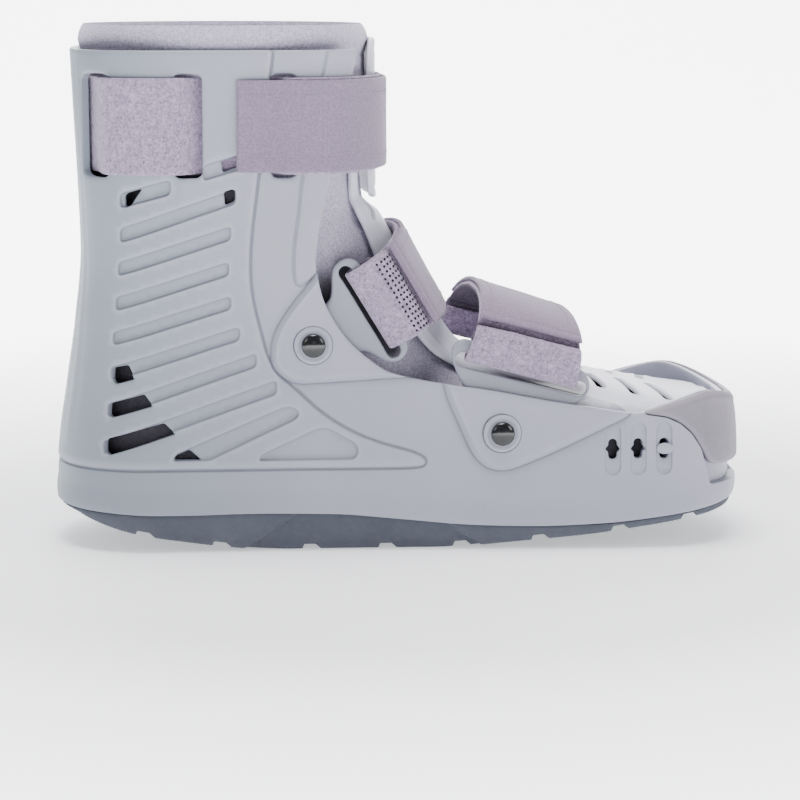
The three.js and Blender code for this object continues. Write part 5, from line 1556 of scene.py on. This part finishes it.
def make_shin_straps(sizes):
    """The band round the leg and the cover over its front."""
    def loop(run, z, whole):
        """Path round the leg at height z: the right half of a run and its mirror image."""
        half = []
        m = FORM.level(z)
        for kind, at, out in run:
            if kind == "side":
                end = max(0.0, 1 - (at - m["back"]) / m["back_cap"])
                y = float(FORM.width(at, z)) * (1 - end ** m["back_power"]) ** (1 / m["back_power"])
                half.append((at, y + out))
                continue
            a = math.radians(at)
            power = m[kind + "_power"]
            cap = m[kind + "_cap"] + out * 0.5
            reach = cap * (1 - abs(math.cos(a)) ** (2 / power))
            x = m["back"] - out + reach if kind == "back" else m["front"] + out - reach
            wide = float(FORM.width(x, z)) + out
            half.append((x, wide * abs(math.sin(a)) ** (2 / power)))
        half = np.array(half)
        go = lengths_along(half)
        even = np.linspace(0, go[-1], 150)
        half = np.column_stack([through(go, half[:, j], even) for j in range(2)])
        other = half[-2:0:-1] if whole else half[-2::-1]
        line = np.vstack([half * np.array([1, -1]), other])
        return np.column_stack([line, np.full(len(line), z)])

    low, high = STRAP_Z
    heights = low + (high - low) * shares(high - low, 1.6)
    grid = np.stack([loop(SHIN_RUN, z, True) for z in heights], axis=1)
    fuzz = 0.12 * ripple(grid.reshape(-1, 3), 3.0, 21, 2).reshape(grid.shape[:2])
    strap = cloth_piece("boot_shin_strap", grid, 0.0, sizes.shin_strap, finish_of("strap_fleece"),
                        closed=True, lift=fuzz)
    heights = low + 1 + (high - low - 2) * shares(high - low - 2, 1.6)
    over = np.stack([loop(COVER_RUN, z, False) for z in heights], axis=1)
    bend = 0.2 * ripple(over.reshape(-1, 3), 28.0, 31, 2).reshape(over.shape[:2])
    cover = cloth_piece("boot_shin_strap_cover", over, 0.0, sizes.cover, finish_of("cover_cloth"),
                        lift=bend)
    return strap, cover


# What repeats: stitches and mesh holes

def scatter(name, points, normals, runs, material, size, sides):
    """Small rounded shapes at points, turned to the surface by a node group.

    size is each shape's length along the run, width across it and height off the surface."""
    mesh = bpy.data.meshes.new(name + "_places")
    mesh.from_pydata((np.asarray(points) * MM).tolist(), [], [])
    for key, values in (("surface_way", normals), ("run_way", runs)):
        layer = mesh.attributes.new(key, "FLOAT_VECTOR", "POINT")
        layer.data.foreach_set("vector", np.asarray(values, np.float32).ravel())
    source = bpy.data.objects.new(name + "_places", mesh)
    bpy.context.scene.collection.objects.link(source)
    group = bpy.data.node_groups.new(name, "GeometryNodeTree")
    side = group.interface
    side.new_socket("Geometry", in_out="INPUT", socket_type="NodeSocketGeometry")
    ids = [side.new_socket(k, in_out="INPUT", socket_type="NodeSocketFloat").identifier
           for k in ("Length", "Width", "Height")]
    side.new_socket("Geometry", in_out="OUTPUT", socket_type="NodeSocketGeometry")
    node, link = group.nodes.new, group.links.new
    start, end = node("NodeGroupInput"), node("NodeGroupOutput")
    ball = node("GeometryNodeMeshUVSphere")
    ball.inputs["Segments"].default_value = sides
    ball.inputs["Rings"].default_value = 5
    ball.inputs["Radius"].default_value = 0.5
    scale = node("ShaderNodeCombineXYZ")
    for i, key in enumerate(("Length", "Width", "Height")):
        link(start.outputs[key], scale.inputs[i])
    shape = node("GeometryNodeTransform")
    link(ball.outputs["Mesh"], shape.inputs["Geometry"])
    link(scale.outputs[0], shape.inputs["Scale"])
    turn = None
    for axis, key in (("Z", "surface_way"), ("X", "run_way")):
        way = node("GeometryNodeInputNamedAttribute")
        way.data_type = "FLOAT_VECTOR"
        way.inputs["Name"].default_value = key
        align = node("FunctionNodeAlignRotationToVector")
        align.axis = axis
        align.pivot_axis = "AUTO" if axis == "Z" else "Z"
        link(way.outputs["Attribute"], align.inputs["Vector"])
        if turn is not None:
            link(turn.outputs[0], align.inputs["Rotation"])
        turn = align
    spread = node("GeometryNodeInstanceOnPoints")
    link(start.outputs["Geometry"], spread.inputs["Points"])
    link(shape.outputs["Geometry"], spread.inputs["Instance"])
    link(turn.outputs[0], spread.inputs["Rotation"])
    real = node("GeometryNodeRealizeInstances")
    link(spread.outputs["Instances"], real.inputs["Geometry"])
    paint = node("GeometryNodeSetMaterial")
    paint.inputs["Material"].default_value = material
    link(real.outputs["Geometry"], paint.inputs["Geometry"])
    link(paint.outputs["Geometry"], end.inputs["Geometry"])
    modifier = source.modifiers.new("Repeat", "NODES")
    modifier.node_group = group
    for key, value in zip(ids, size):
        modifier[key] = value * MM
    made = bpy.data.meshes.new_from_object(
        source.evaluated_get(bpy.context.evaluated_depsgraph_get()))
    source.modifiers.remove(modifier)
    bpy.data.objects.remove(source)
    made.name = name
    obj = bpy.data.objects.new(name, made)
    bpy.context.scene.collection.objects.link(obj)
    made.shade_smooth()
    return obj


def along_rows(face, normal, column, step=3.0, first=4, last=-4):
    """Places at even steps along one column of a face, with the normals and runs there."""
    line, way = face[first:last, column], normal[first:last, column]
    go = lengths_along(line)
    at = np.arange(step, go[-1] - step / 2, step)
    points = np.column_stack([np.interp(at, go, line[:, j]) for j in range(3)])
    ahead = np.column_stack([np.interp(at + 0.5, go, line[:, j]) for j in range(3)])
    normals = np.column_stack([np.interp(at, go, way[:, j]) for j in range(3)])
    return points, normals, ahead - points


def make_stitches(covers):
    """A row of stitches inside each long edge of the covers."""
    rows = []
    for _, face, normal in covers:
        for column in (8, face.shape[1] - 9):
            rows.append(along_rows(face, normal, column))
    places = [np.vstack([row[i] for row in rows]) for i in range(3)]
    return scatter("boot_stitches", *places, finish_of("binding_thread"), (2.0, 0.55, 0.5), 6)


def make_mesh_holes(strap, start):
    """Five rows of holes across the instep strap on each side, just below its cover, each a flat
    near black spot painted as the shade inside the hole.
    """
    _, face, normal = strap
    holes = []
    for row in range(5):
        k = start - 1 - row * 2
        for i in (k, len(face) - 1 - k):
            for c in range(7, face.shape[1] - 6, 2):
                holes.append((face[i, c], normal[i, c], face[i, c + 1] - face[i, c]))
    places = [np.array([hole[i] for hole in holes]) for i in range(3)]
    return scatter("boot_mesh_holes", *places, finish_of("mesh_hole"), (1.35, 1.35, 0.36), 8)


# Stage, in metres

# Paper: half width, front edge, where it starts to bend up, radius of the bend, top and back.
PAPER = dict(side=2.5, front=-2.2, bend=1.5, radius=0.7, top=3.0, back=2.2)
# Lights: place, what it points at, width and height, power, tint.
LIGHTS = {
    "top_light": ((-0.1, -0.1, 1.4), (0, 0, 0.05), (0.9, 0.6), 27.0, (1.0, 0.995, 0.985)),
    "left_light": ((-1.2, -1.0, 0.9), (0, 0, 0.08), (0.5, 0.7), 4.0, (0.98, 0.99, 1.0)),
    "right_light": ((1.3, -0.9, 0.8), (0, 0, 0.08), (0.6, 0.8), 7.0, (1.0, 1.0, 1.0)),
    "back_light": ((0.0, 1.3, 1.3), (0, 0.6, 0.3), (2.4, 1.2), 9.0, (1.0, 1.0, 1.0)),
}
AIR = ((0.95, 0.97, 1.0, 1), 0.3)
CAMERA = (-0.122578, -1.178733, 0.244635)
CAMERA_AIM = (0.00131, 0.0, 0.05691)
LENS = 122.22


def facing(place, aim):
    """Turn of a light or camera at a place so that it points at another."""
    return (Vector(aim) - Vector(place)).to_track_quat("-Z", "Y").to_euler()


def make_paper():
    """Pale paper under and behind the boot, bent up at the back, glowing as painted light: dim near
    the boot, as painted shade round it, and bright further off.
    """
    p = PAPER
    profile = [(p["front"], 0)]
    profile += [(p["bend"] + p["radius"] * math.sin(a), p["radius"] * (1 - math.cos(a)))
                for a in np.radians(np.linspace(0, 90, 13))]
    profile.append((p["back"], p["top"]))
    points = [(x, y, z) for y, z in profile for x in (-p["side"], p["side"])]
    mesh = bpy.data.meshes.new("studio_floor")
    mesh.from_pydata(points, [], [(i, i + 1, i + 3, i + 2) for i in range(0, len(points) - 2, 2)])
    mesh.shade_smooth()
    f = Finish("studio_paper", Roughness=0.75, Specular_IOR_Level=0.2,
               Emission_Color=(0.97, 0.98, 1.0, 1))
    # Painted light: the paper glows least near the boot, as painted shade round it, most further
    # off, and little to either side of the strip behind the boot.
    away = f.node("ShaderNodeVectorMath", {0: f.place}, operation="LENGTH").outputs["Value"]
    across = f.node("ShaderNodeSeparateXYZ", {"Vector": f.place}).outputs["X"]
    beside = f.maths("ABSOLUTE", f.maths("SUBTRACT", across, 0.2))
    glow = f.maths("MULTIPLY", f.range(away, 0.22, 0.7, 0.6, 5.2),
                   f.range(beside, 0.6, 1.1, 1.0, 0.1))
    f.tree.links.new(glow, f.shader.inputs["Emission Strength"])
    tone = tuple(bpy.context.scene.boot_colours.floor) + (1,)
    body = f.ramp(f.noise(3.0, 2.0), [(0.3, shade(tone, 0.985)), (0.7, shade(tone, 1.0))])
    mesh.materials.append(f.finish(body))
    floor = bpy.data.objects.new("studio_floor", mesh)
    bpy.context.scene.collection.objects.link(floor)


def make_stage():
    """Paper, soft lights, pale air and the camera at the photograph's angle."""
    make_paper()
    scene = bpy.context.scene
    for name, (place, aim, size, power, tint) in LIGHTS.items():
        light = bpy.data.lights.new(name, "AREA")
        light.shape = "RECTANGLE"
        light.size, light.size_y = size
        light.energy = power
        light.color = tint
        obj = bpy.data.objects.new(name, light)
        obj.location = place
        obj.rotation_euler = facing(place, aim)
        scene.collection.objects.link(obj)
    world = bpy.data.worlds.new("studio_air")
    scene.world = world
    world.use_nodes = True
    back = world.node_tree.nodes["Background"]
    back.inputs["Color"].default_value, back.inputs["Strength"].default_value = AIR
    camera = bpy.data.cameras.new("studio_camera")
    camera.sensor_width = 36.0
    camera.lens = LENS
    camera.clip_end = 20.0
    eye = bpy.data.objects.new("studio_camera", camera)
    eye.location = CAMERA
    eye.rotation_euler = facing(CAMERA, CAMERA_AIM)
    scene.collection.objects.link(eye)
    scene.camera = eye


# Sizes and colours shown in the panel

def linear(r, g, b):
    """Screen colour from 0 to 255 as the linear values the shaders take."""
    return tuple(((v / 255 + 0.055) / 1.055) ** 2.4 for v in (r, g, b))


def mm_size(name, text, value):
    """Size in millimetres, as the tables give them."""
    return bpy.props.FloatProperty(name=name, description=text + ", mm", default=value, unit="NONE")


def colour(name, text, rgb):
    """Colour that a user may change."""
    return bpy.props.FloatVectorProperty(name=name, description=text, default=linear(*rgb),
                                         subtype="COLOR", min=0, max=1)


class BootSizes(bpy.types.PropertyGroup):
    """Sizes of the boot's pieces."""
    wall: mm_size("Wall", "Thickness of the shell wall", 3.0)
    floor: mm_size("Floor", "Thickness of the shell floor", 4.0)
    grid: mm_size("Grid", "Spacing of the points on the shell", 2.5)
    panel_rise: mm_size("Panel rise", "How far the raised panel stands out", 0.8)
    boss_rise: mm_size("Boss rise", "How far the rivet bosses stand out", 2.5)
    slot_depth: mm_size("Slot depth", "How deep the slanted slots lie", 0.7)
    groove_depth: mm_size("Groove depth", "How deep the grooves of the tread are", 2.1)
    key_depth: mm_size("Key depth", "How deep the toe keyways lie", 0.9)
    seat_depth: mm_size("Seat depth", "How deep the seats of the rivets' washers lie", 0.5)
    heel_line: mm_size("Heel line", "How deep the upright lines beside the heel are", 0.35)
    toe_set_in: mm_size("Toe set in", "How far the toe is set in below the bumper", 3.4)
    sole_inset: mm_size("Sole inset", "How far the outsole is set in", 1.2)
    waist_inset: mm_size("Waist inset", "How far the waist is set in further", 2.6)
    bumper_rise: mm_size("Bumper rise", "How far the toe bumper stands out", 0.5)
    loop_thickness: mm_size("Loop thickness", "Thickness of the strap loops", LOOP_THICKNESS)
    rivet_head: mm_size("Rivet head", "Width of the rivet heads", 10.2)
    liner_wall: mm_size("Liner wall", "Thickness of the liner", 3.4)
    plate_thickness: mm_size("Plate thickness", "Thickness of the front plate", 2.4)
    shin_thickness: mm_size("Shin plate thickness", "Thickness of the shin plate", 3.2)
    fleece: mm_size("Fleece", "Thickness of the lower straps over the foot", 3.2)
    fleece_roll: mm_size("Fleece roll", "Thickness of the lower straps above the loops", 4.2)
    cover: mm_size("Cover", "Thickness of the strap covers", 1.8)
    shin_strap: mm_size("Shin strap", "Thickness of the shin strap", 1.9)


class BootColours(bpy.types.PropertyGroup):
    """Colours of the boot's pieces."""
    shell: colour("Shell", "Grey plastic of the shell", (158, 159, 173))
    bumper: colour("Bumper", "Toe bumper", (134, 129, 139))
    plate: colour("Plate", "Front and shin plate", (210, 210, 223))
    loop: colour("Loop", "Strap loops", (138, 139, 152))
    sole: colour("Sole", "Outsole rubber", (84, 88, 98))
    rivet: colour("Rivet", "Rivet lacquer", (10, 11, 15))
    strap: colour("Strap", "Brushed strap face", (155, 140, 165))
    cover: colour("Cover", "Strap covers", (131, 117, 138))
    liner: colour("Liner", "Liner cloth", (180, 174, 194))
    thread: colour("Thread", "Stitching", (132, 118, 140))
    floor: colour("Floor", "Studio floor", (244, 245, 248))


# Operators

def settle(obj, *nodes, slot):
    """The finished piece takes the place of its CAD nodes and rides on the root."""
    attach(obj, "root")
    if nodes:
        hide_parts(*nodes)


class Maker(bpy.types.Operator):
    """Make pieces of the boot"""
    bl_options = {"REGISTER"}

    def execute(self, context):
        self.make(context.scene.boot_sizes)
        return {"FINISHED"}


class BOOT_OT_shell(Maker):
    """Make the shell and the toe bumper"""
    bl_idname = "boot.shell"
    bl_label = "Shell and bumper"

    def make(self, sizes):
        settle(make_shell(sizes), "shell", slot="shell")
        settle(make_bumper(sizes), "toe_bumper", slot="bumper")


class BOOT_OT_sole(Maker):
    """Make the outsole"""
    bl_idname = "boot.sole"
    bl_label = "Outsole"

    def make(self, sizes):
        settle(make_outsole(sizes), "outsole", slot="sole")


class BOOT_OT_hardware(Maker):
    """Make the loops, rivets, washers and toe pins"""
    bl_idname = "boot.hardware"
    bl_label = "Loops and rivets"

    def make(self, sizes):
        for name, shape in (("instep", INSTEP_LOOP), ("ball", BALL_LOOP)):
            for obj in make_loop("boot_" + name + "_loop", shape, LOWER[name]["slot"], sizes):
                settle(obj, obj.name.removeprefix("boot_"), slot="loop")
        for key, made in make_fasteners(sizes).items():
            slot = "rivet" if key.endswith("rivet") else "washer"
            for obj in made:
                settle(obj, obj.name.removeprefix("boot_"), slot=slot)


class BOOT_OT_liner(Maker):
    """Make the padded liner"""
    bl_idname = "boot.liner"
    bl_label = "Liner"

    def make(self, sizes):
        liner = make_liner(sizes)
        settle(liner, "liner", slot="padding")


class BOOT_OT_plates(Maker):
    """Make the front plate and the shin plate"""
    bl_idname = "boot.plates"
    bl_label = "Plates"

    def make(self, sizes):
        settle(make_front_plate(sizes), "front_plate", slot="plate")
        settle(make_shin_plate(sizes), "shin_plate", slot="plate")


class BOOT_OT_straps(Maker):
    """Make the three straps, their covers, stitches and mesh holes"""
    bl_idname = "boot.straps"
    bl_label = "Straps"

    def make(self, sizes):
        covers = []
        for name in ("instep", "ball"):
            strap, cover, start = make_lower_strap(name, sizes)
            settle(strap[0], name + "_strap", slot="strap")
            settle(cover[0], name + "_strap_cover", slot="strap_cover")
            covers.append(cover)
            if name == "instep":
                meshed, below = strap, start
        strap, cover = make_shin_straps(sizes)
        settle(strap[0], "shin_strap", slot="strap")
        settle(cover[0], "shin_strap_cover", slot="strap_cover")
        covers.append(cover)
        settle(make_stitches(covers), slot="strap_cover")
        settle(make_mesh_holes(meshed, below), slot="strap")


class BOOT_OT_stage(Maker):
    """Make the studio floor, the lights and the camera"""
    bl_idname = "boot.stage"
    bl_label = "Stage"

    def make(self, sizes):
        make_stage()


class BOOT_PT_panel(bpy.types.Panel):
    bl_label = "Walking boot"
    bl_space_type = "VIEW_3D"
    bl_region_type = "UI"
    bl_category = "Walking boot"

    def draw(self, context):
        for group in (context.scene.boot_sizes, context.scene.boot_colours):
            column = self.layout.column()
            for key in group.__annotations__:
                column.prop(group, key)
        for maker in MAKERS:
            self.layout.operator(maker.bl_idname)


MAKERS = (BOOT_OT_shell, BOOT_OT_sole, BOOT_OT_hardware, BOOT_OT_liner, BOOT_OT_plates,
          BOOT_OT_straps, BOOT_OT_stage)
CLASSES = (BootSizes, BootColours) + MAKERS + (BOOT_PT_panel,)


def register():
    """Add the classes, and the sizes and colours of the scene."""
    for cls in CLASSES:
        bpy.utils.register_class(cls)
    bpy.types.Scene.boot_sizes = bpy.props.PointerProperty(type=BootSizes)
    bpy.types.Scene.boot_colours = bpy.props.PointerProperty(type=BootColours)


def unregister():
    """Take away what register adds."""
    del bpy.types.Scene.boot_colours
    del bpy.types.Scene.boot_sizes
    for cls in reversed(CLASSES):
        bpy.utils.unregister_class(cls)


def main():
    """Make the boot and its stage."""
    register()
    for maker in MAKERS:
        getattr(bpy.ops.boot, maker.bl_idname.removeprefix("boot."))()


if __name__ == "__main__":
    main()
